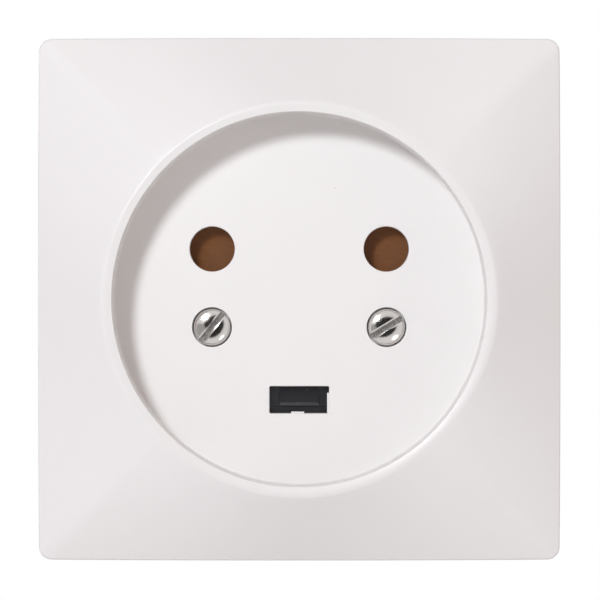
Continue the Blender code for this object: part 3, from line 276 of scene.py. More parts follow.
class SocketStrapSizes(PropertyGroup):
    half: length("Half side", "From the middle to the strap's side", 35.5)
    thickness: length("Thickness", "Thickness of the sheet", 1.0)
    corner: length("Corner", "Radius of the strap's corners", 4.0)
    opening: length("Opening", "Radius of the opening round the inner lid", 22.5)
    fixing: length("Fixing place", "Distance of a fixing slot from the middle", 30.0)
    fixing_width: length("Fixing width", "Width of a fixing slot", 3.6)
    fixing_length: length("Fixing length", "Length of a fixing slot", 8.5)
    tab_width: length("Tab width", "Width of a bent tab", 8.0)
    tab_height: length("Tab height", "Height of a bent tab above the wall's surface", 6.5)
    tab_bend: length("Tab bend", "Inner radius of a tab's bend", 0.4)
    tab_relief: length("Tab relief", "Width of the notch on each side of a tab", 0.5)
    window_width: length("Window width", "Width of the window in a tab", 5.6)
    window_low: length("Window sill", "Height at which a window starts", 2.8)
    window_high: length("Window top", "Height at which a window ends", 5.2)
    rivet_circle: length("Rivet circle", "Radius on which the strap's rivets lie", 25.25)
    rivet: length("Rivet", "Diameter of a rivet", 2.4)
    rivet_head: length("Rivet head", "Diameter of a rivet's head", 4.2)
    rivet_rise: length("Rivet rise", "Height of a rivet's head", 0.7)
    rivet_gap: length("Rivet gap", "Clearance round a rivet", 0.2)
    flange_back: length("Flange back", "Depth of the rear of the base's flange", 3.0)
    edge_round: length("Edge rounding", "Radius of the punched edges", 0.12)


class SocketFinishes(PropertyGroup):
    frame_white: colour("Frame white", "Plastic of the frame", (0.780, 0.762, 0.756))
    cover_white: colour("Cover white", "Plastic of the cover", (0.800, 0.781, 0.772))
    nickel: colour("Nickel", "Plating of the cover screws", (0.60, 0.57, 0.55))
    zinc: colour("Zinc", "Plating of the strap and the hidden screws", (0.60, 0.61, 0.62))
    black: colour("Black moulding", "Plastic of the base and the inner lid", (0.020, 0.019, 0.021))
    slide: colour("Black slide", "Plastic of the slide", (0.090, 0.087, 0.094))
    board: colour("Board", "Laminated board of the shutter", (0.466, 0.184, 0.068))
    brass: colour("Brass", "Brass of the contacts", (0.72, 0.53, 0.26))
    spring: colour("Spring steel", "Steel of the springs", (0.50, 0.50, 0.51))
    dust: colour("Dust", "Colour of the dust", (0.62, 0.59, 0.55))
    mottle: share("Mottle", "How much the plastic's colour varies", 0.024)
    frame_roughness: share("Frame roughness", "Roughness of the frame's slopes", 0.68)
    lip_roughness: share("Lip roughness", "Roughness of the frame's polished lip", 0.29)
    cover_roughness: share("Cover roughness", "Roughness of the cover", 0.52)
    nickel_roughness: share("Nickel roughness", "Roughness of the cover screws", 0.10)
    slot_roughness: share("Slot roughness", "Roughness of the floor of a screw's slot", 0.55)


class SocketStageSettings(PropertyGroup):
    distance: length("Distance", "Camera to the wall's surface", 450.0)
    lens: FloatProperty(name="Lens", description="Focal length", default=173.43, unit="CAMERA")
    shift: share("Shift", "How far the view is shifted to the right and down", 0.0012)
    key_energy: power("Key", "Power of the key lamp", 5.04)
    shutter_energy: power("Shutter", "Power of the lamp on the board", 0.35)
    slide_energy: power("Slide lamp", "Power of the lamp on the slide", 1.5)
    side_energy: power("Side", "Power of the weak lamp at the right", 1.4)
    key_tint: colour("Key tint", "Colour of the key lamp", (0.913, 0.967, 1.0))
    side_tint: colour("Side tint", "Colour of the weak lamp at the right", (1.0, 1.0, 0.85))
    ambient: colour("Ambient", "Light of the surroundings on the object", (0.388, 0.327, 0.325))
    floor_depth: length("Floor depth", "How far the floor lies below the middle", 70.0)


# Mesh tools


def arc(centre, radius, start, end, steps):
    """Points of an arc from one angle to another, in degrees."""
    turns = [math.radians(start + (end - start) * i / steps) for i in range(steps + 1)]
    return [(centre[0] + radius * math.cos(t), centre[1] + radius * math.sin(t)) for t in turns]


def turned(bm, profile, steps, x=0.0, z=0.0):
    """Spins an outline of (radius, height) points about the front-to-back line through x, z."""
    verts = [bm.verts.new((x + radius, -height, z)) for radius, height in profile]
    edges = [bm.edges.new(pair) for pair in zip(verts, verts[1:])]
    if profile[0][0] > 0 or profile[-1][0] > 0:
        edges.append(bm.edges.new((verts[-1], verts[0])))
    bmesh.ops.spin(
        bm,
        geom=verts + edges,
        cent=(x, 0, z),
        axis=(0, 1, 0),
        angle=2 * math.pi,
        steps=steps,
        use_merge=True,
    )


def rod(bm, radius, front, back, steps, x=0.0, z=0.0):
    """A plain round rod from one height to another."""
    turned(bm, [(0, front), (radius, front), (radius, back), (0, back)], steps, x, z)


def block(bm, x, height, z):
    """A box between the two limits given for each of x, height and z."""
    verts = bmesh.ops.create_cube(bm, size=1.0)["verts"]
    size = (x[1] - x[0], abs(height[1] - height[0]), z[1] - z[0])
    centre = ((x[0] + x[1]) / 2, -(height[0] + height[1]) / 2, (z[0] + z[1]) / 2)
    bmesh.ops.scale(bm, vec=size, verts=verts)
    bmesh.ops.translate(bm, vec=centre, verts=verts)


def extruded(bm, points, vector):
    """A prism: the face through these points, drawn out along the vector."""
    face = bm.faces.new([bm.verts.new(point) for point in points])
    made = bmesh.ops.extrude_face_region(bm, geom=[face], use_keep_orig=True)["geom"]
    moved = [part for part in made if isinstance(part, bmesh.types.BMVert)]
    bmesh.ops.translate(bm, vec=vector, verts=moved)


def prism(bm, outline, front, back):
    """Draws an outline of (x, z) points from one height to another."""
    extruded(bm, [(x, -front, z) for x, z in outline], (0, front - back, 0))


def side_prism(bm, outline, left, right):
    """Draws an outline of (height, z) points from left to right."""
    extruded(bm, [(left, -height, z) for height, z in outline], (right - left, 0, 0))


def rounded_rectangle(half_x, half_z, radius, x=0.0, z=0.0, steps=6):
    """The outline of a rounded rectangle round x, z."""
    corners = [(1, 1, 0), (-1, 1, 90), (-1, -1, 180), (1, -1, 270)]
    outline = []
    for side_x, side_z, start in corners:
        centre = (x + side_x * (half_x - radius), z + side_z * (half_z - radius))
        outline += arc(centre, radius, start, start + 90, steps)
    return outline


def next_ring(bm, ring, points):
    """Extrudes a ring of vertices once, sets the new ring on these points and gives it back."""
    edges = [bm.edges.get(pair) for pair in zip(ring, ring[1:] + ring[:1])]
    made = bmesh.ops.extrude_edge_only(bm, edges=edges)["geom"]
    fresh = {part for part in made if isinstance(part, bmesh.types.BMVert)}
    after = []
    for vert, point in zip(ring, points):
        partner = next(e.other_vert(vert) for e in vert.link_edges if e.other_vert(vert) in fresh)
        partner.co = point
        after.append(partner)
    return after


def drawn(bm, loops, capped):
    """Extrudes a ring through these loops of points, then caps both ends or closes it on itself."""
    ring = bmesh.ops.create_circle(bm, cap_ends=False, segments=len(loops[0]), radius=1.0)["verts"]
    for vert, point in zip(ring, loops[0]):
        vert.co = point
    first = ring
    for points in loops[1:]:
        ring = next_ring(bm, ring, points)
    if capped:
        bm.faces.new(first)
        bm.faces.new(ring)
    else:
        next_ring(bm, ring, loops[0])


def level(outline, height):
    """An outline of (x, z) points at one height, as points in space."""
    return [(x, -height, z) for x, z in outline]


def placed(bm, name):
    """Puts the mesh in the scene as an object."""
    mesh = bpy.data.meshes.new(name)
    bm.to_mesh(mesh)
    bm.free()
    obj = bpy.data.objects.new(name, mesh)
    bpy.context.scene.collection.objects.link(obj)
    return obj


def raw_object(bm, name):
    """Welds the mesh, turns its faces outwards and puts it in the scene."""
    bmesh.ops.remove_doubles(bm, verts=bm.verts, dist=WELD)
    bmesh.ops.recalc_face_normals(bm, faces=bm.faces)
    return placed(bm, name)


def settled(obj):
    """Applies the object's modifiers to its mesh."""
    graph = bpy.context.evaluated_depsgraph_get()
    rough = obj.data
    obj.data = bpy.data.meshes.new_from_object(obj.evaluated_get(graph), depsgraph=graph)
    obj.modifiers.clear()
    bpy.data.meshes.remove(rough)


def carved(obj, steps):
    """Cuts or joins the shapes of each (operation, function) to the object, one after another."""
    helpers = []
    for operation, add_shapes in steps:
        bm = bmesh.new()
        add_shapes(bm)
        helper = raw_object(bm, obj.name + "_tool")
        helpers.append(helper)
        modifier = obj.modifiers.new(operation, "BOOLEAN")
        modifier.object = helper
        modifier.operation = operation
        modifier.solver = "EXACT"
        modifier.use_self = True
    settled(obj)
    for helper in helpers:
        mesh = helper.data
        bpy.data.objects.remove(helper)
        bpy.data.meshes.remove(mesh)
    return obj


def softened(obj, radius, segments=2):
    """Rounds every sharp edge by a small radius."""
    bm = bmesh.new()
    bm.from_mesh(obj.data)
    bmesh.ops.remove_doubles(bm, verts=bm.verts, dist=WELD)
    bmesh.ops.dissolve_limit(bm, angle_limit=FLAT, verts=bm.verts, edges=bm.edges)
    sharp = [e for e in bm.edges if len(e.link_faces) == 2 and e.calc_face_angle() > SHARP]
    bmesh.ops.bevel(
        bm,
        geom=sharp,
        offset=radius,
        offset_type="OFFSET",
        segments=segments,
        profile=0.5,
        affect="EDGES",
        clamp_overlap=True,
        material=-1,
    )
    bm.to_mesh(obj.data)
    bm.free()
    return obj


def piece(obj, node, material, body="socket"):
    """Gives a finished mesh its shading, material and body, and hides the CAD node that it stands for."""
    bm = bmesh.new()
    bm.from_mesh(obj.data)
    bmesh.ops.remove_doubles(bm, verts=bm.verts, dist=WELD)
    bmesh.ops.recalc_face_normals(bm, faces=bm.faces)
    bm.to_mesh(obj.data)
    bm.free()
    obj.data.shade_smooth()
    obj.data.set_sharp_from_angle(angle=SHARP)
    normals = obj.modifiers.new("Even shading", "WEIGHTED_NORMAL")
    normals.keep_sharp = True
    normals.weight = 100
    settled(obj)
    obj.data.materials.clear()
    obj.data.materials.append(material)
    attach(obj, body)
    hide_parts(node)
    return obj


# Layout


def layout(scene):
    """Heights and places that follow from the sizes and that more than one piece needs."""
    rim, cover = scene.socket_frame, scene.socket_cover
    shutter = scene.socket_shutter
    place = SimpleNamespace()
    place.crest = rim.lip_radius + rim.lip_crest
    place.collar_inner = rim.lip_radius + rim.lip_width
    place.collar_outer = place.collar_inner + rim.collar_wall
    place.lip_under = rim.height - rim.lip_depth
    place.pin_x = cover.pin_circle * math.cos(cover.pin_angle)
    place.pin_z = cover.pin_circle * math.sin(cover.pin_angle)
    place.earth_z = -cover.pin_circle
    place.floor_back = cover.floor_height - cover.floor_wall
    place.plate_back = -shutter.plate_depth - shutter.plate_thickness
    place.plate_half = cover.pin_hole / 2 + shutter.plate_margin
    place.plate_top = place.pin_z + place.plate_half
    place.slide_front = place.plate_back - shutter.gap
    place.slide_back = place.slide_front - shutter.carriage_depth
    return place


# Shader tools


def wire_up(tree, made, values):
    """Links each value that is a socket to the node's input of that name, and sets the others there."""
    for key, value in values.items():
        socket = made.inputs[key]
        if isinstance(value, bpy.types.NodeSocket):
            tree.links.new(value, socket)
        else:
            socket.default_value = value


def add_node(tree, kind, values=None, **settings):
    """A new shader node with its settings and its inputs."""
    made = tree.nodes.new("ShaderNode" + kind)
    for key, value in settings.items():
        setattr(made, key, value)
    wire_up(tree, made, values or {})
    return made


def calc(tree, operation, *values):
    """The result of a Math node."""
    return add_node(tree, "Math", dict(enumerate(values)), operation=operation).outputs[0]


def scaled(tree, colour_socket, factor):
    """A colour times a number."""
    return add_node(tree, "VectorMath", {0: colour_socket, 3: factor}, operation="SCALE").outputs[0]


def mixed(tree, factor, first, second):
    """Two colours mixed by a mask."""
    return add_node(tree, "Mix", {0: factor, 6: first, 7: second}, data_type="RGBA").outputs[2]


def noise(tree, vector, scale, detail=2.0, distortion=0.0):
    """The value of a Noise Texture, whose scale counts its cells per metre."""
    values = {"Vector": vector, "Scale": scale, "Detail": detail, "Distortion": distortion}
    return add_node(tree, "TexNoise", values).outputs[0]


def remapped(tree, value, low, high, to_low=0.0, to_high=1.0):
    """A value moved from one range to another and held inside it."""
    values = {0: value, 1: low, 2: high, 3: to_low, 4: to_high}
    return add_node(tree, "MapRange", values).outputs[0]


def swayed(tree, value, amount, base=1.0):
    """The base, moved up and down by a noise value times the amount."""
    return calc(tree, "MULTIPLY_ADD", calc(tree, "SUBTRACT", value, 0.5), amount, base)


def effect(name, inputs, outputs, build):
    """A shader node group with named sockets, made once."""
    found = bpy.data.node_groups.get(name)
    if found:
        return found
    group = bpy.data.node_groups.new(name, "ShaderNodeTree")
    for label, kind, value in inputs:
        socket = group.interface.new_socket(label, in_out="INPUT", socket_type="NodeSocket" + kind)
        if value is not None:
            socket.default_value = value
    for label, kind in outputs:
        group.interface.new_socket(label, in_out="OUTPUT", socket_type="NodeSocket" + kind)
    start = group.nodes.new("NodeGroupInput")
    end = group.nodes.new("NodeGroupOutput")
    for label, socket in build(group, start.outputs).items():
        group.links.new(socket, end.inputs[label])
    return group


def use_effect(tree, group, values):
    """Places an effect in a material and gives its outputs."""
    made = tree.nodes.new("ShaderNodeGroup")
    made.node_tree = group
    wire_up(tree, made, values)
    return made.outputs


WHITE = (1.0, 1.0, 1.0, 1.0)
# The factors of x, y and z that leave only what lies in the wall's plane, or in the floor's.
WALL_PLANE = (1, 0, 1)
FLOOR_PLANE = (1, 1, 0)
# How a metal's streaks are stretched.
ALONG_HEIGHT = (900.0, 900.0, 90.0)
ALONG_DEPTH = (900.0, 60.0, 900.0)
# Tool rings per metre on a turned head, and the depth over which a milled floor, with its painted shade, begins.
TOOL_RINGS = 9000.0
MILLED_FADE = 0.02 * MM
SURFACE = [("Colour", "Color"), ("Roughness", "Float"), ("Normal", "Vector")]


def build_moulded(tree, given):
    """Even moulded plastic: a faint mottle, fine grain and a slightly uneven gloss."""
    broad = noise(tree, given["Vector"], 130.0, 3.0)
    fine = noise(tree, given["Vector"], 2100.0, 2.0)
    grain = noise(tree, given["Vector"], calc(tree, "DIVIDE", 1.0, given["Grain"]), 1.5)
    sway = swayed(tree, fine, 0.5, swayed(tree, broad, 1.0, 0.0))
    level_out = calc(tree, "MULTIPLY_ADD", sway, given["Mottle"], 1.0)
    gloss = swayed(tree, broad, 0.18)
    bump = add_node(tree, "Bump", {"Height": grain, "Distance": given["Depth"], "Strength": 1.0})
    return {
        "Colour": scaled(tree, given["Colour"], level_out),
        "Roughness": calc(tree, "MULTIPLY", given["Roughness"], gloss),
        "Normal": bump.outputs[0],
    }


def moulded():
    """The node group for moulded plastic."""
    inputs = [
        ("Vector", "Vector", None),
        ("Colour", "Color", WHITE),
        ("Roughness", "Float", 0.4),
        ("Mottle", "Float", 0.02),
        ("Grain", "Float", 0.0002),
        ("Depth", "Float", 0.000002),
    ]
    return effect("moulded_plastic", inputs, SURFACE, build_moulded)


def build_specks(tree, given):
    """Sparse round specks: some cells of a pattern hold one, most are empty."""
    scale = calc(tree, "DIVIDE", 1.0, given["Spacing"])
    cells = add_node(tree, "TexVoronoi", {"Vector": given["Vector"], "Scale": scale})
    parts = add_node(tree, "SeparateColor", {0: cells.outputs["Color"]})
    chosen = calc(tree, "LESS_THAN", parts.outputs[0], given["Amount"])
    size = calc(tree, "MULTIPLY", given["Size"], calc(tree, "MULTIPLY_ADD", parts.outputs[1], 0.8, 0.4))
    near = remapped(tree, cells.outputs["Distance"], calc(tree, "MULTIPLY", size, 0.6), size, 1.0, 0.0)
    return {"Mask": calc(tree, "MULTIPLY", near, chosen)}


def specks():
    """The node group for dust specks."""
    inputs = [
        ("Vector", "Vector", None),
        ("Spacing", "Float", 0.001),
        ("Size", "Float", 0.1),
        ("Amount", "Float", 0.1),
    ]
    return effect("dust_specks", inputs, [("Mask", "Float")], build_specks)


def build_metal(tree, given):
    """Worked metal: streaks along the tool's path and fine scratches, in colour, gloss and height."""
    streak = noise(tree, given["Streaks"], 1.0, 4.0)
    cloud = noise(tree, given["Vector"], 420.0, 4.0)
    pits = noise(tree, given["Vector"], 5200.0, 2.0)
    dull = swayed(tree, cloud, given["Contrast"], swayed(tree, streak, given["Contrast"]))
    height = calc(tree, "MULTIPLY_ADD", pits, 0.35, streak)
    bump = add_node(tree, "Bump", {"Height": height, "Distance": given["Depth"], "Strength": 1.0})
    return {
        "Colour": scaled(tree, given["Colour"], dull),
        "Roughness": calc(tree, "MULTIPLY", given["Roughness"], swayed(tree, cloud, 0.5)),
        "Normal": bump.outputs[0],
    }


def worked_metal():
    """The node group for worked metal."""
    inputs = [
        ("Vector", "Vector", None),
        ("Streaks", "Vector", None),
        ("Colour", "Color", WHITE),
        ("Roughness", "Float", 0.3),
        ("Contrast", "Float", 0.2),
        ("Depth", "Float", 0.000002),
    ]
    return effect("worked_metal", inputs, SURFACE, build_metal)


def start_material(name):
    """A new material with its Principled shader and its Object coordinates."""
    made = bpy.data.materials.new(name)
    made.use_nodes = True
    tree = made.node_tree
    shader = tree.nodes["Principled BSDF"]
    place = add_node(tree, "TexCoord").outputs["Object"]
    return made, tree, shader, place


def rgba(value):
    """A colour with full alpha."""
    return (*value, 1.0)


def distance_in(tree, place, plane):
    """Distance from the origin in a plane, which is given as the factors of x, y and z."""
    flat = add_node(tree, "VectorMath", {0: place, 1: plane}, operation="MULTIPLY").outputs[0]
    return add_node(tree, "VectorMath", {0: flat}, operation="LENGTH").outputs["Value"]


def plastic(name, tint, roughness, finishes, grain=0.00022, depth=0.0000012, dust=0.0, polished=None):
    """Moulded plastic with a little dust on it.

    Where polished gives a roughness, a radius and a width, it holds inside the radius and fades over the width.
    """
    made, tree, shader, place = start_material(name)
    if polished:
        inner, radius, fade = polished
        reach = distance_in(tree, place, WALL_PLANE)
        roughness = remapped(tree, reach, radius, radius + fade, inner, roughness)
    values = {"Vector": place, "Colour": rgba(tint), "Roughness": roughness}
    values.update({"Mottle": finishes.mottle, "Grain": grain, "Depth": depth})
    out = use_effect(tree, moulded(), values)
    base = out["Colour"]
    if dust:
        mask = use_effect(tree, specks(), {"Vector": place, "Spacing": 0.0011, "Size": 0.11, "Amount": dust})
        base = mixed(tree, mask["Mask"], base, rgba(finishes.dust))
    wire_up(tree, shader, {"Base Color": base, "Roughness": out["Roughness"], "Normal": out["Normal"]})
    return made


def metal(name, tint, roughness, stretch=ALONG_HEIGHT, contrast=0.18, swirl=None, cut=None, burr=None):
    """Plated or bare metal.

    The streaks run along the axis with the smallest stretch, or round the swirl's centre. A cut gives a height
    below which the metal was milled, and its roughness there; below that height the colour is also darkened in
    grains as painted shade on the slot's floor. A burr stands along a slot through the swirl's centre: it gives
    the slot's angle and half width, and the burr's width and height.
    """
    made, tree, shader, place = start_material(name)
    if swirl:
        back = (-swirl[0], 0, -swirl[1])
        moved = add_node(tree, "VectorMath", {0: place, 1: back}, operation="ADD").outputs[0]
        ringed = calc(tree, "MULTIPLY", distance_in(tree, moved, WALL_PLANE), TOOL_RINGS)
        streaks = add_node(tree, "CombineXYZ", {0: ringed}).outputs[0]
    else:
        streaks = add_node(tree, "Mapping", {"Vector": place, "Scale": stretch}).outputs[0]
    values = {"Vector": place, "Streaks": streaks, "Colour": rgba(tint), "Roughness": roughness}
    values.update({"Contrast": contrast, "Depth": 0.0000015})
    out = use_effect(tree, worked_metal(), values)
    shader.inputs["Metallic"].default_value = 1.0
    rough, base = out["Roughness"], out["Colour"]
    if cut:
        level_cut, milled_roughness = cut
        behind = add_node(tree, "SeparateXYZ", {0: place}).outputs[1]
        milled = remapped(tree, behind, -level_cut - MILLED_FADE, -level_cut)
        rough = remapped(tree, milled, 0.0, 1.0, rough, milled_roughness)
        # Painted shade: the slot's floor is darkened in grains towards 0.3 of the tint, standing in for the shade
        # in the narrow slot.
        painted_slot_shade = remapped(tree, noise(tree, place, 5200.0, 2.0), 0.35, 0.65, 0.1, 0.85)
        base = mixed(tree, calc(tree, "MULTIPLY", milled, painted_slot_shade), base, rgba(part * 0.3 for part in tint))
    normal = out["Normal"]
    if burr:
        angle, half, width, height = burr
        straight = add_node(tree, "Mapping", {"Vector": moved, "Rotation": (0, angle, 0)}).outputs[0]
        across = calc(tree, "ABSOLUTE", add_node(tree, "SeparateXYZ", {0: straight}).outputs[2])
        rise = remapped(tree, across, half, half + width)
        values = {"Height": rise, "Distance": height, "Strength": 1.0, "Normal": normal}
        normal = add_node(tree, "Bump", values).outputs[0]
    wire_up(tree, shader, {"Base Color": base, "Roughness": rough, "Normal": normal})
    return made


def fibre_board(name, tint, finishes):
    """Laminated paper board: short fibres, light specks and a few scratches."""
    made, tree, shader, place = start_material(name)
    stretched = add_node(tree, "Mapping", {"Vector": place, "Scale": (700.0, 700.0, 2600.0)}).outputs[0]
    fibres = noise(tree, stretched, 1.0, 4.0, 0.6)
    clouds = noise(tree, place, 260.0, 3.0)
    sway = swayed(tree, clouds, 0.25, swayed(tree, fibres, 0.35))
    slanted = {"Vector": place, "Rotation": (0, math.radians(38), 0), "Scale": (160.0, 1.0, 5200.0)}
    slant = add_node(tree, "Mapping", slanted).outputs[0]
    scratch = remapped(tree, noise(tree, slant, 1.0, 1.0), 0.72, 0.80, 0.0, 0.12)
    base = scaled(tree, tuple(tint), sway)
    flecks = use_effect(tree, specks(), {"Vector": place, "Spacing": 0.0006, "Size": 0.13, "Amount": 0.16})
    marks = calc(tree, "MAXIMUM", calc(tree, "MULTIPLY", flecks["Mask"], 0.45), scratch)
    base = mixed(tree, marks, base, rgba(finishes.dust))
    bump = add_node(tree, "Bump", {"Height": fibres, "Distance": 0.000006, "Strength": 1.0})
    rough = swayed(tree, clouds, 0.2, 0.6)
    wire_up(tree, shader, {"Base Color": base, "Roughness": rough, "Normal": bump.outputs[0]})
    return made


def shared(name, build):
    """A material that several pieces use, made once."""
    return bpy.data.materials.get(name) or build(name)


def zinc(scene):
    """Zinc plating."""
    finishes = scene.socket_finishes
    return shared("zinc_plate", lambda name: metal(name, finishes.zinc, 0.36, contrast=0.22))


def black(scene):
    """The base's and the lid's black plastic."""
    finishes = scene.socket_finishes
    return shared("black_plastic", lambda name: plastic(name, finishes.black, 0.45, finishes, dust=0.05))


def brass(scene):
    """Drawn brass."""
    finishes = scene.socket_finishes
    return shared("drawn_brass", lambda name: metal(name, finishes.brass, 0.28, ALONG_DEPTH, 0.2))


def spring_steel(scene):
    """Bright spring wire."""
    finishes = scene.socket_finishes
    return shared("spring_wire", lambda name: metal(name, finishes.spring, 0.25, contrast=0.12))


# Frame

# Loops over the outer edge's rounding, the slope, the crest's rounding and the lip's inner side.
EDGE_STEPS = 8
SLOPE_STEPS = 8
CREST_STEPS = 12
LIP_STEPS = 6
# Loops over the underside of the shell.
SHELL_STEPS = 5
# The lip's inner side falls away with this power of the distance from the crest. It ends above the mouth's height
# by this share of the mouth's rounding.
LIP_POWER = 1.5
MOUTH_SHARE = 0.6
# The middle of a rounding lies this share of its radius in from both sides.
ROUND_MIDDLE = 0.3


def lean_of(angle):
    """Angle between this direction and the one straight across the nearest side."""
    lean = angle % (math.pi / 2)
    return min(lean, math.pi / 2 - lean)


def square_reach(rim, angle, half, corner):
    """How far out a rounded square with slightly bowed sides lies in this direction."""
    lean = lean_of(angle)
    half = half - rim.bow * math.tan(lean) ** 2
    if half * math.tan(lean) <= half - corner:
        return half / math.cos(lean)
    centre = half - corner
    along = centre * (math.cos(lean) + math.sin(lean))
    across = centre * (math.cos(lean) - math.sin(lean))
    return along + math.sqrt(max(corner**2 - across**2, 0))


def outline_reach(rim, angle, inset):
    """How far out the frame's outline, drawn in by the inset, lies in this direction."""
    return square_reach(rim, angle, rim.side / 2 - inset, max(rim.corner - inset, rim.corner / 3))


def frame_angles(rim):
    """Directions of the frame's lines: even along the sides and close together at the corners."""
    side = math.atan2(rim.side / 2 - rim.corner, rim.side / 2)
    corner = math.pi / 2 - 2 * side
    quarter = [side * i / rim.side_steps for i in range(rim.side_steps)]
    quarter += [side + corner * i / rim.corner_steps for i in range(rim.corner_steps)]
    quarter += [math.pi / 2 - side + side * i / rim.side_steps for i in range(rim.side_steps)]
    return [lean + math.pi / 2 * i for i in range(4) for lean in quarter]


def slope_start(rim, place, angle):
    """Where the crest's rounding runs into the straight slope in this direction, out from the crest."""
    run = square_reach(rim, angle, rim.side / 2 - rim.edge_inset, rim.corner) - place.crest
    return run - math.sqrt(run**2 - 2 * rim.lip_blend * (rim.height - rim.edge_height))


def across_edge(rim, angle):
    """How far this direction leans away from the one straight across the outer edge."""
    lean = lean_of(angle)
    reach, centre = outline_reach(rim, angle, 0), rim.side / 2 - rim.corner
    return lean - math.atan2(max(reach * math.sin(lean) - centre, 0), reach * math.cos(lean) - centre)


def edge_point(rim, place, angle, way):
    """Reach and height on the outer edge's rounding, this share of the way from the side to the slope."""
    start = slope_start(rim, place, angle)
    steep = start / rim.lip_blend
    tilt = math.atan(steep / math.cos(across_edge(rim, angle)))
    top_reach = outline_reach(rim, angle, rim.edge_round * (1 - math.sin(tilt)))
    top = rim.height - start**2 / (2 * rim.lip_blend) - (top_reach - place.crest - start) * steep
    around = math.pi - way * (math.pi / 2 - tilt)
    height = top + rim.edge_round * (math.sin(around) - math.cos(tilt))
    return outline_reach(rim, angle, rim.edge_round * (1 + math.cos(around))), height


def inside_height(rim, place, way):
    """The underside of the shell, this share of the way from the collar to the edge."""
    top = rim.height - slope_start(rim, place, 0) ** 2 / (2 * rim.lip_blend) - rim.wall
    return top + (rim.edge_height - rim.wall - top) * way


def frame_loops(rim, place):
    """Loops round the frame's section, from the outer foot over the top to the inner foot."""
    angles = frame_angles(rim)

    def loop(reach, height):
        return [(reach(a) * math.cos(a), -height(a), reach(a) * math.sin(a)) for a in angles]

    def square(inset, height):
        return loop(lambda a: outline_reach(rim, a, inset), lambda a: height)

    def edge(way):
        points = [edge_point(rim, place, a, way) for a in angles]
        return [(out * math.cos(a), -height, out * math.sin(a)) for a, (out, height) in zip(angles, points)]

    def ring(radius, height):
        return loop(lambda a: radius, lambda a: height)

    def crest(way):
        def out(a):
            return slope_start(rim, place, a) * way

        return loop(lambda a: place.crest + out(a), lambda a: rim.height - out(a) ** 2 / (2 * rim.lip_blend))

    def between(first, second, way):
        pairs = zip(first, second)
        return [tuple(a + (b - a) * way for a, b in zip(start, end)) for start, end in pairs]

    foot = rim.foot_round
    loops = [square(foot, 0), square(foot * ROUND_MIDDLE, foot * ROUND_MIDDLE), square(0, foot)]
    loops += [edge(i / EDGE_STEPS) for i in range(EDGE_STEPS + 1)]
    loops += [between(edge(1), crest(1), i / SLOPE_STEPS) for i in range(1, SLOPE_STEPS)]
    loops += [crest(1 - i / CREST_STEPS) for i in range(CREST_STEPS + 1)]
    mouth = rim.lip_radius
    inner = rim.lip_crest - rim.lip_round
    dip = rim.lip_drop - rim.lip_round * MOUTH_SHARE
    for i in range(1, LIP_STEPS + 1):
        loops.append(ring(place.crest - inner * i / LIP_STEPS, rim.height - dip * (i / LIP_STEPS) ** LIP_POWER))
    rounding = arc((mouth + rim.lip_round, rim.height - dip - rim.lip_round), rim.lip_round, 90, 180, 5)
    loops += [ring(out, height) for out, height in rounding[1:]]
    under, collar_foot = place.lip_under, place.lip_under - rim.collar_depth
    loops += [ring(mouth, under + foot), ring(mouth + foot, under), ring(place.collar_inner, under)]
    loops += [ring(place.collar_inner, collar_foot), ring(place.collar_outer, collar_foot)]
    inner_ring = ring(place.collar_outer, inside_height(rim, place, 0))
    inner_edge = square(rim.wall, inside_height(rim, place, 1))
    loops += [between(inner_ring, inner_edge, i / SHELL_STEPS) for i in range(SHELL_STEPS + 1)]
    loops.append(square(rim.wall, 0))
    return loops


def leg_top(rim, place, x, z):
    """The middle of the shell's thickness above this point."""
    edge = square_reach(rim, math.atan2(z, x), rim.side / 2 - rim.wall, rim.corner)
    way = (math.hypot(x, z) - place.collar_outer) / (edge - place.collar_outer)
    return inside_height(rim, place, min(way, 1)) + rim.wall / 2


def add_legs(bm, rim, place):
    """Four clip legs that stand outside the strap's tabs, each with a barb for the tab's window."""
    inner, half = rim.side / 2 - rim.leg_inset, rim.leg_width / 2
    for side in SIDES.values():
        for z in (-rim.leg_offset, rim.leg_offset):
            top = leg_top(rim, place, inner + rim.leg_wall, rim.leg_offset + half)
            x = sorted((side * inner, side * (inner + rim.leg_wall)))
            block(bm, x, (rim.leg_lift, top), (z - half, z + half))
            tip, root = side * (inner - rim.barb), side * (inner + rim.leg_wall / 2)
            low = z - rim.barb_width / 2
            corners = [(root, -rim.barb_low), (tip, -rim.barb_high), (root, -rim.barb_high)]
            extruded(bm, [(x, y, low) for x, y in corners], (0, 0, rim.barb_width))


class SOCKET_OT_frame(Operator):
    """Model the pillow-shaped frame with its lip, collar and clip legs"""

    bl_idname = "socket.frame"
    bl_label = "Frame"

    def execute(self, context):
        scene = context.scene
        rim, place, finishes = scene.socket_frame, layout(scene), scene.socket_finishes
        bm = bmesh.new()
        drawn(bm, frame_loops(rim, place), capped=False)
        obj = carved(raw_object(bm, "socket_frame"), [("UNION", lambda tool: add_legs(tool, rim, place))])
        polished = (finishes.lip_roughness, place.collar_inner, rim.lip_blend)
        tint, roughness = finishes.frame_white, finishes.frame_roughness
        skin = plastic("frame_plastic", tint, roughness, finishes, polished=polished)
        piece(obj, "frame", skin)
        return {"FINISHED"}


# Cover


def mouth(radius, top, back, rounding):
    """The outline of a hole's cutter, flared so that the hole's front edge comes out rounded."""
    flare = arc((radius + rounding, top - rounding - TUCK), rounding, 90, 180, 6)
    return [(0, top + OVERSHOOT), (radius + rounding, top + OVERSHOOT), *flare, (radius, back), (0, back)]


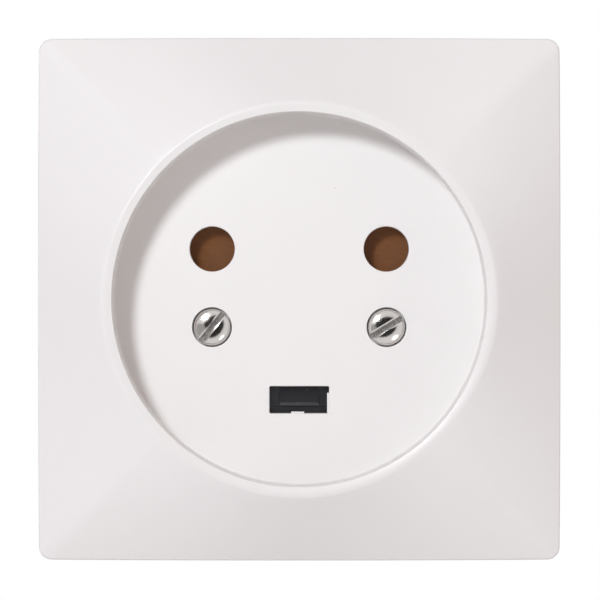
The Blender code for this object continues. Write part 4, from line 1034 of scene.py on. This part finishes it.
def cover_profile(cover, place):
    """The cover's outline, from the middle of its floor over the rim to the middle of its rear.

    The floor and the rear also get a point at half their radius, and the floor gets one just before the fillet.
    """
    floor, rim_r, edge = cover.floor_height, cover.rim_radius, cover.rim_round
    top, outer, foot = cover.rim_height, cover.outer_radius, cover.foot_chamfer
    profile = [(0, floor), (cover.floor_radius * 0.5, floor), (cover.floor_radius - cover.fillet * 1.05, floor)]
    profile += arc((cover.floor_radius - cover.fillet, floor + cover.fillet), cover.fillet, -90, 0, 12)
    profile += arc((rim_r + edge, top - edge), edge, 180, 90, 5)
    profile += arc((outer - edge, top - edge), edge, 90, 0, 3)
    profile += [(outer, place.floor_back + foot), (outer - foot, place.floor_back)]
    return profile + [(outer * 0.5, place.floor_back), (0, place.floor_back)]


def slot_loops(cover, place):
    """The earth slot's cutter, from the room to the rear, with its flared mouth."""
    half_x, half_z, corner = cover.slot_width / 2, cover.slot_height / 2, cover.slot_corner
    rounding = cover.mouth_round

    def loop(out, height):
        return level(rounded_rectangle(half_x + out, half_z + out, corner + out, 0, place.earth_z), height)

    loops = [loop(rounding, cover.floor_height + OVERSHOOT)]
    for out, height in arc((rounding, cover.floor_height - rounding - TUCK), rounding, 90, 180, 6):
        loops.append(loop(out, height))
    return loops + [loop(0, place.floor_back - OVERSHOOT)]


class SOCKET_OT_cover(Operator):
    """Model the deep round cover with its pin holes, earth slot and counterbores"""

    bl_idname = "socket.cover"
    bl_label = "Cover"

    def execute(self, context):
        scene = context.scene
        cover, screw, place = scene.socket_cover, scene.socket_screws, layout(scene)
        finishes = scene.socket_finishes
        back = place.floor_back - OVERSHOOT

        def add_holes(bm):
            for side in SIDES.values():
                outline = mouth(cover.pin_hole / 2, cover.floor_height, back, cover.mouth_round)
                turned(bm, outline, HOLE_FACETS, side * place.pin_x, place.pin_z)
                seat = cover.floor_height - cover.counterbore
                head = screw.head / 2 + cover.counterbore_margin
                shank = screw.shank / 2 + cover.shank_margin
                outline = mouth(head, cover.floor_height, seat, cover.counterbore_round)[:-1]
                outline += [(shank, seat), (shank, back), (0, back)]
                turned(bm, outline, HOLE_FACETS, side * cover.screw_x, -cover.screw_drop)

        def add_slot(bm):
            drawn(bm, slot_loops(cover, place), capped=True)

        def add_flash(bm):
            depth = (place.floor_back + cover.flash_rear, cover.floor_height - cover.flash_inset)
            low, right = place.earth_z - cover.slot_height / 2, cover.slot_width / 2
            step = cover.slot_step
            block(bm, (right - step, right + step), depth, (low - step, low + cover.slot_step_height))
            block(bm, (-cover.flash_left, cover.flash_right), depth, (low - step, low + cover.flash_height))

        bm = bmesh.new()
        turned(bm, cover_profile(cover, place), cover.steps)
        steps = [("DIFFERENCE", add_holes), ("DIFFERENCE", add_slot), ("UNION", add_flash)]
        obj = carved(raw_object(bm, "socket_cover"), steps)
        skin = plastic("cover_plastic", finishes.cover_white, finishes.cover_roughness, finishes, dust=0.006)
        piece(obj, "cover", skin)
        return {"FINISHED"}


class SOCKET_OT_cover_screws(Operator):
    """Model the two domed cover screws, each with its slot at its own angle"""

    bl_idname = "socket.cover_screws"
    bl_label = "Cover screws"

    def execute(self, context):
        scene = context.scene
        cover, screw, finishes = scene.socket_cover, scene.socket_screws, scene.socket_finishes
        angles = {"left": screw.left_turn, "right": screw.right_turn}
        top = cover.floor_height + screw.crown
        for word, side in SIDES.items():
            x, z = side * cover.screw_x, -cover.screw_drop
            radius = screw.head / 2
            lean = math.asin((radius - screw.shoulder) / (screw.dome - screw.shoulder))
            shoulder_height = top - screw.dome + (screw.dome - screw.shoulder) * math.cos(lean)
            tilt = 90 - math.degrees(lean)
            profile = arc((0, top - screw.dome), screw.dome, 90, tilt, 14)
            profile += arc((radius - screw.shoulder, shoulder_height), screw.shoulder, tilt, 0, 10)[1:]
            seat = cover.floor_height - cover.counterbore + SEAT_GAP
            shank = screw.shank / 2
            profile += [(radius, seat), (shank, seat), (shank, -screw.tip_height), (0, -screw.tip_height)]

            def add_slot(bm):
                reach, half = radius + OVERSHOOT, screw.slot / 2
                block(bm, (-reach, reach), (top - screw.slot_depth, top + OVERSHOOT), (-half, half))
                turn_slot = Matrix.Rotation(-angles[word], 3, "Y")
                bmesh.ops.rotate(bm, matrix=turn_slot, verts=bm.verts)
                bmesh.ops.translate(bm, vec=(x, 0, z), verts=bm.verts)

            bm = bmesh.new()
            turned(bm, profile, screw.steps, x, z)
            self.flatten(bm, screw, (x, z), top, angles[word])
            obj = carved(raw_object(bm, "socket_cover_screw_" + word), [("DIFFERENCE", add_slot)])
            softened(obj, screw.slot_round, segments=6)
            skin = metal(
                "nickel_" + word,
                finishes.nickel,
                finishes.nickel_roughness,
                contrast=0.10,
                swirl=(x, z),
                # The cut also paints shade on the slot's floor, darkened in grains.
                cut=(top - screw.slot_depth + screw.slot_milled, finishes.slot_roughness),
                burr=(angles[word], screw.slot / 2, screw.burr_width, screw.burr_height),
            )
            piece(obj, "cover_screw_" + word, skin)
        return {"FINISHED"}

    def flatten(self, bm, screw, centre, top, angle):
        """Makes the dome a little flatter along the slot and rounder across it."""
        edge = top - screw.crown
        for vert in bm.verts:
            height = -vert.co.y
            if height > edge:
                around = math.atan2(vert.co.z - centre[1], vert.co.x - centre[0]) - angle
                fall = (top - height) * (1 - screw.flat_share * math.cos(2 * around))
                vert.co.y = fall - top


# Shutter


class SOCKET_OT_shutter(Operator):
    """Model the shutter: its board, its slide with the wedge, its rivets and its return spring"""

    bl_idname = "socket.shutter"
    bl_label = "Shutter"

    def execute(self, context):
        scene = context.scene
        finishes, place = scene.socket_finishes, layout(scene)
        self.make_board(scene.socket_shutter, place, finishes)
        self.make_slide(scene.socket_shutter, place, finishes)
        self.make_rivets(scene, place)
        self.make_spring(scene, place)
        return {"FINISHED"}

    def rivet_x(self, shutter):
        """Distance of a rivet from the middle."""
        return shutter.arm_place + shutter.arm / 2

    def add_rivet_holes(self, bm, shutter, place):
        for side in SIDES.values():
            z = place.plate_top - shutter.top_bar / 2
            back = place.slide_back - OVERSHOOT
            radius, x = shutter.rivet / 2 + shutter.rivet_margin, side * self.rivet_x(shutter)
            rod(bm, radius, OVERSHOOT, back, RIVET_HOLE_FACETS, x, z)

    def make_board(self, shutter, place, finishes):
        bm = bmesh.new()
        half_x = place.pin_x + place.plate_half
        outline = rounded_rectangle(half_x, place.plate_half, shutter.plate_corner, 0, place.pin_z)
        prism(bm, outline, -shutter.plate_depth, place.plate_back)
        obj = raw_object(bm, "socket_shutter_plate")
        carved(obj, [("DIFFERENCE", lambda tool: self.add_rivet_holes(tool, shutter, place))])
        softened(obj, shutter.plate_round)
        skin = fibre_board("shutter_board", finishes.board, finishes)
        piece(obj, "shutter_plate", skin, body="shutter")

    def make_slide(self, shutter, place, finishes):
        web_top = place.earth_z - shutter.nose_drop - shutter.gap
        bottom = web_top - shutter.web
        half = shutter.arm_place + shutter.arm
        top = place.plate_top
        corner = shutter.chamfer
        outline = [(half, top), (-half, top), (-half, bottom + corner), (corner - half, bottom)]
        outline += [(half - corner, bottom), (half, bottom + corner)]
        bm = bmesh.new()
        prism(bm, outline, place.slide_front, place.slide_back)

        def add_window(tool):
            depth = (place.slide_back - OVERSHOOT, place.slide_front + OVERSHOOT)
            reach = (-shutter.arm_place, shutter.arm_place)
            block(tool, reach, depth, (web_top, top - shutter.top_bar))

        def add_wedge(tool):
            nose, low = -shutter.nose_depth, place.earth_z - shutter.nose_drop
            back = place.slide_back + BITE
            foot_front, foot = place.slide_front - BITE, web_top - shutter.web / 2
            high = place.earth_z + shutter.wedge_rise
            points = [(nose, low + shutter.nose_height), (nose, low), (foot_front, low), (foot_front, foot)]
            points += [(back, foot), (back, high), (back + shutter.wedge_tip, high)]
            side_prism(tool, points, -shutter.wedge_width / 2, shutter.wedge_width / 2)

        def add_shelves(tool):
            reach, front = shutter.arm_place + BITE, place.slide_front - BITE
            high = place.earth_z + shutter.shelf_rise
            block(tool, (-reach, reach), (front - shutter.shelf, front), (web_top - BITE, high))

        obj = raw_object(bm, "socket_shutter_carriage")
        steps = [("DIFFERENCE", add_window), ("UNION", add_shelves), ("UNION", add_wedge)]
        steps.append(("DIFFERENCE", lambda tool: self.add_rivet_holes(tool, shutter, place)))
        softened(carved(obj, steps), shutter.carriage_round)
        skin = plastic("slide_plastic", finishes.slide, 0.36, finishes, depth=0.000002, dust=0.25)
        piece(obj, "shutter_carriage", skin, body="shutter")

    def make_rivets(self, scene, place):
        shutter = scene.socket_shutter
        front = -shutter.plate_depth + shutter.rivet_gap
        head, rise, shank = shutter.rivet_head / 2, shutter.rivet_rise, shutter.rivet / 2
        edge = shutter.rivet_round
        back = place.slide_back + shutter.rivet_gap
        for word, side in SIDES.items():
            profile = [(0, front + rise), *arc((head - edge, front + rise - edge), edge, 90, 0, 5)]
            profile += [(head, front), (shank, front), (shank, back), (0, back)]
            bm = bmesh.new()
            z = place.plate_top - shutter.top_bar / 2
            turned(bm, profile, RIVET_FACETS, side * self.rivet_x(shutter), z)
            obj = raw_object(bm, "socket_shutter_rivet_" + word)
            piece(obj, "shutter_rivet_" + word, brass(scene), body="shutter")

    def make_spring(self, scene, place):
        shutter = scene.socket_shutter
        radius, wire = shutter.spring / 2, shutter.wire / 2
        low = -shutter.post_rise + shutter.gap + wire
        high = place.plate_top - shutter.top_bar - shutter.gap - wire
        middle = (place.slide_front + place.slide_back) / 2
        steps = shutter.turns * COIL_FACETS
        section = arc((0, 0), wire, 0, 360, WIRE_FACETS)[:-1]
        loops = []
        for i in range(steps + 1):
            around = 2 * math.pi * shutter.turns * i / steps
            centre = Vector((radius * math.cos(around), radius * math.sin(around) - middle, low))
            centre.z += (high - low) * i / steps
            out = Vector((math.cos(around), math.sin(around), 0))
            loops.append([tuple(centre + out * a + Vector((0, 0, b))) for a, b in section])
        bm = bmesh.new()
        drawn(bm, loops, capped=True)
        obj = raw_object(bm, "socket_shutter_spring")
        piece(obj, "shutter_spring", spring_steel(scene))
        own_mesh(obj)


# Strap


class SOCKET_OT_strap(Operator):
    """Model the steel strap with its bent tabs and its four rivets"""

    bl_idname = "socket.strap"
    bl_label = "Mounting strap"

    def execute(self, context):
        scene = context.scene
        self.make_strap(scene)
        for word, angle in RIVET_ANGLES.items():
            self.make_rivet(scene, word, angle)
        return {"FINISHED"}

    def rivet_place(self, strap, degrees):
        """x and z of the rivet in this direction."""
        angle = math.radians(degrees)
        return strap.rivet_circle * math.cos(angle), strap.rivet_circle * math.sin(angle)

    def make_strap(self, scene):
        strap, rim = scene.socket_strap, scene.socket_frame
        places = [(x, z * rim.leg_offset) for x in SIDES.values() for z in SIDES.values()]
        beyond, inner = strap.half + OVERSHOOT, strap.half - strap.thickness - strap.tab_bend
        front, back = strap.thickness + OVERSHOOT, -OVERSHOOT

        def add_notches(bm):
            reach = strap.tab_width / 2 + strap.tab_relief
            for side, z in places:
                block(bm, sorted((side * inner, side * beyond)), (back, front), (z - reach, z + reach))

        def add_tabs(bm):
            outer = strap.tab_bend + strap.thickness
            middle = (inner, strap.thickness + strap.tab_bend)
            outline = [(inner - OVERSHOOT, 0), *arc(middle, outer, -90, 0, 8), (strap.half, strap.tab_height)]
            outline += [(strap.half - strap.thickness, strap.tab_height), *arc(middle, strap.tab_bend, 0, -90, 6)]
            outline.append((inner - OVERSHOOT, strap.thickness))
            for side, z in places:
                points = [(side * x, -height, z - strap.tab_width / 2) for x, height in outline]
                extruded(bm, points, (0, 0, strap.tab_width))

        def add_windows(bm):
            half = strap.window_width / 2
            for side, z in places:
                x = sorted((side * (inner - OVERSHOOT), side * beyond))
                block(bm, x, (strap.window_low, strap.window_high), (z - half, z + half))

        def add_holes(bm):
            rod(bm, strap.opening, front, back, OPENING_FACETS)
            across, along = strap.fixing_width / 2, strap.fixing_length / 2
            for side in SIDES.values():
                place = side * strap.fixing
                prism(bm, rounded_rectangle(across, along, across - WELD, place, 0), front, back)
                prism(bm, rounded_rectangle(along, across, across - WELD, 0, place), front, back)
            radius = strap.rivet / 2 + strap.rivet_gap
            for angle in RIVET_ANGLES.values():
                rod(bm, radius, front, back, RIVET_FACETS, *self.rivet_place(strap, angle))

        bm = bmesh.new()
        prism(bm, rounded_rectangle(strap.half, strap.half, strap.corner, steps=12), strap.thickness, 0)
        obj = raw_object(bm, "socket_mounting_strap")
        steps = [("DIFFERENCE", add_notches), ("UNION", add_tabs), ("DIFFERENCE", add_windows)]
        softened(carved(obj, [*steps, ("DIFFERENCE", add_holes)]), strap.edge_round)
        piece(obj, "mounting_strap", zinc(scene))

    def make_rivet(self, scene, word, angle):
        strap = scene.socket_strap
        radius, head, rise = strap.rivet / 2, strap.rivet_head / 2, strap.rivet_rise
        front = strap.thickness + strap.rivet_gap
        back = -strap.flange_back - strap.rivet_gap
        dome = (head * head + rise * rise) / (2 * rise)
        lean = math.degrees(math.asin(head / dome))
        crown = arc((0, front + rise - dome), dome, 90, 90 - lean, 8)
        foot = [(r, back + front - height) for r, height in reversed(crown)]
        bm = bmesh.new()
        outline = [*crown, (radius, front), (radius, back), *foot]
        turned(bm, outline, STRAP_RIVET_FACETS, *self.rivet_place(strap, angle))
        obj = raw_object(bm, "socket_strap_rivet_" + word)
        piece(obj, "strap_rivet_" + word, zinc(scene))


# Parts that keep their CAD meshes


class SOCKET_OT_carried(Operator):
    """Give the CAD nodes that stay their finished materials"""

    bl_idname = "socket.carried"
    bl_label = "Carried parts"

    def execute(self, context):
        scene = context.scene
        finishes = {
            "black_moulding": black(scene),
            "zinc_steel": zinc(scene),
            "brass": brass(scene),
            "spring_steel": spring_steel(scene),
        }
        slots = {part["node"]: part["material_slot"] for part in frame["record"]["subparts"]}
        for name, obj in frame["nodes"].items():
            if not obj.hide_render:
                obj.material_slots[0].material = finishes[slots[name]]
        return {"FINISHED"}


# Stage

# Half the floor's side, where its shadow fades into plain white, and the white added to it near the socket.
FLOOR_REACH = 6.0
FLOOR_FADE = (0.11, 0.2)
FLOOR_LIFT = 0.5


class SOCKET_OT_stage(Operator):
    """Set up the camera, the lamps, the floor and the white surroundings"""

    bl_idname = "socket.stage"
    bl_label = "Stage"

    def execute(self, context):
        scene = context.scene
        stage = scene.socket_stage
        self.make_camera(scene, stage)
        self.make_lamps(stage)
        self.make_reflections()
        self.make_floor(stage)
        self.make_world(scene, stage)
        scene.view_settings.view_transform = "Standard"
        return {"FINISHED"}

    def make_camera(self, scene, stage):
        data = bpy.data.cameras.new("camera")
        data.lens = stage.lens
        data.sensor_width = 36.0
        data.clip_start = 0.01
        data.shift_x = stage.shift
        data.shift_y = -stage.shift
        camera = bpy.data.objects.new("camera", data)
        camera.location = (0, -stage.distance, 0)
        camera.rotation_euler = (math.pi / 2, 0, 0)
        scene.collection.objects.link(camera)
        scene.camera = camera

    def make_lamp(self, name, energy, tint, direction, size, distance):
        """A round lamp that faces the socket's middle and that reflections don't see."""
        data = bpy.data.lights.new(name, "AREA")
        data.shape = "DISK"
        data.size = size
        data.energy = energy
        data.color = tint
        lamp = bpy.data.objects.new(name, data)
        way = Vector(direction).normalized()
        lamp.location = way * distance
        lamp.rotation_euler = way.to_track_quat("Z", "Y").to_euler()
        lamp.visible_glossy = False
        bpy.context.scene.collection.objects.link(lamp)
        return lamp

    def link(self, lamp, state, parts):
        """Has a lamp light only these parts, or all but these."""
        lit = bpy.data.collections.new(lamp.name + "_" + state.lower())
        for part in parts:
            lit.objects.link(bpy.data.objects["socket_" + part])
        for entry in lit.collection_objects:
            entry.light_linking.link_state = state
        lamp.light_linking.receiver_collection = lit

    def make_lamps(self, stage):
        tint = stage.key_tint
        key = self.make_lamp("key_lamp", stage.key_energy, tint, KEY_WAY, size=0.145, distance=0.9)
        self.link(key, "EXCLUDE", ("shutter_plate", "shutter_carriage"))
        near = self.make_lamp("shutter_lamp", stage.shutter_energy, tint, SHUTTER_WAY, size=0.05, distance=0.417)
        self.link(near, "INCLUDE", ("shutter_plate",))
        front = self.make_lamp("slide_lamp", stage.slide_energy, tint, FRONT_WAY, size=0.2, distance=0.6)
        self.link(front, "INCLUDE", ("shutter_carriage",))
        self.make_lamp("side_lamp", stage.side_energy, stage.side_tint, SIDE_WAY, size=0.6, distance=1.0)

    def make_card(self, name, direction, distance, radius, strength):
        """A disc that only reflections see."""
        bm = bmesh.new()
        bmesh.ops.create_circle(bm, cap_ends=True, segments=48, radius=radius)
        way = Vector(direction).normalized()
        bmesh.ops.transform(bm, matrix=way.to_track_quat("Z", "Y").to_matrix().to_4x4(), verts=bm.verts)
        bmesh.ops.translate(bm, vec=way * distance, verts=bm.verts)
        card = placed(bm, name)
        made = bpy.data.materials.new(name)
        made.use_nodes = True
        tree = made.node_tree
        tree.nodes.clear()
        glow = add_node(tree, "Emission", {"Strength": strength})
        end = add_node(tree, "OutputMaterial")
        tree.links.new(glow.outputs[0], end.inputs["Surface"])
        card.data.materials.append(made)
        for ray in ("camera", "diffuse", "shadow", "transmission", "volume_scatter"):
            setattr(card, "visible_" + ray, False)

    def make_reflections(self):
        self.make_card("dark_flag", FRONT_WAY, distance=1.2, radius=0.40, strength=0.03)
        self.make_card("bright_card", KEY_WAY, distance=0.9, radius=0.08, strength=17.7)
        self.make_card("low_card", LOW_WAY, distance=1.0, radius=0.09, strength=3.0)
        self.make_card("grey_card", LEFT_WAY, distance=1.1, radius=0.28, strength=0.5)

    def seen_directly(self, tree):
        """1 for what the camera, a reflection or glass sees, and 0 for what only lights the socket."""
        path = add_node(tree, "LightPath").outputs
        seen = calc(tree, "MAXIMUM", path["Is Camera Ray"], path["Is Glossy Ray"])
        return calc(tree, "MAXIMUM", seen, path["Is Transmission Ray"])

    def make_floor(self, stage):
        """A pale floor that keeps the socket's shadow near it and is plain white further out."""
        bm = bmesh.new()
        bmesh.ops.create_grid(bm, x_segments=1, y_segments=1, size=FLOOR_REACH)
        bmesh.ops.translate(bm, vec=(0, 0, -stage.floor_depth), verts=bm.verts)
        floor = placed(bm, "floor")
        made, tree, shader, place = start_material("pale_floor")
        shader.inputs["Base Color"].default_value = (0.88, 0.88, 0.88, 1.0)
        shader.inputs["Roughness"].default_value = 0.9
        seen = self.seen_directly(tree)
        far = calc(tree, "MULTIPLY", remapped(tree, distance_in(tree, place, FLOOR_PLANE), *FLOOR_FADE), seen)
        lift = add_node(tree, "Emission", {"Strength": calc(tree, "MULTIPLY", seen, FLOOR_LIFT)})
        near = add_node(tree, "AddShader", {0: shader.outputs[0], 1: lift.outputs[0]})
        white = add_node(tree, "Emission", {"Strength": 1.0})
        both = add_node(tree, "MixShader", {0: far, 1: near.outputs[0], 2: white.outputs[0]})
        tree.links.new(both.outputs[0], tree.nodes["Material Output"].inputs["Surface"])
        floor.data.materials.append(made)
        floor.visible_glossy = False

    def make_world(self, scene, stage):
        world = bpy.data.worlds.new("white_surroundings")
        world.use_nodes = True
        tree = world.node_tree
        light = mixed(tree, self.seen_directly(tree), rgba(stage.ambient), WHITE)
        wire_up(tree, tree.nodes["Background"], {"Color": light, "Strength": 1.0})
        scene.world = world


class SOCKET_PT_build(Panel):
    """Lists the pieces of the socket"""

    bl_idname = "SOCKET_PT_build"
    bl_label = "Wall socket"
    bl_space_type = "VIEW_3D"
    bl_region_type = "UI"
    bl_category = "Socket"

    def draw(self, context):
        for operator in OPERATORS:
            self.layout.operator(operator.bl_idname)


GROUPS = {
    "socket_frame": SocketFrameSizes,
    "socket_cover": SocketCoverSizes,
    "socket_screws": SocketScrewSizes,
    "socket_shutter": SocketShutterSizes,
    "socket_strap": SocketStrapSizes,
    "socket_finishes": SocketFinishes,
    "socket_stage": SocketStageSettings,
}
OPERATORS = (
    SOCKET_OT_frame,
    SOCKET_OT_cover,
    SOCKET_OT_cover_screws,
    SOCKET_OT_shutter,
    SOCKET_OT_strap,
    SOCKET_OT_carried,
    SOCKET_OT_stage,
)


def register():
    for kind in (*GROUPS.values(), *OPERATORS, SOCKET_PT_build):
        bpy.utils.register_class(kind)
    for name, kind in GROUPS.items():
        setattr(bpy.types.Scene, name, PointerProperty(type=kind))


def unregister():
    for name in GROUPS:
        delattr(bpy.types.Scene, name)
    for kind in (SOCKET_PT_build, *reversed(OPERATORS), *reversed(GROUPS.values())):
        bpy.utils.unregister_class(kind)


def main():
    register()
    bpy.ops.socket.frame()
    bpy.ops.socket.cover()
    bpy.ops.socket.cover_screws()
    bpy.ops.socket.shutter()
    bpy.ops.socket.strap()
    bpy.ops.socket.carried()
    bpy.ops.socket.stage()


if __name__ == "__main__":
    main()
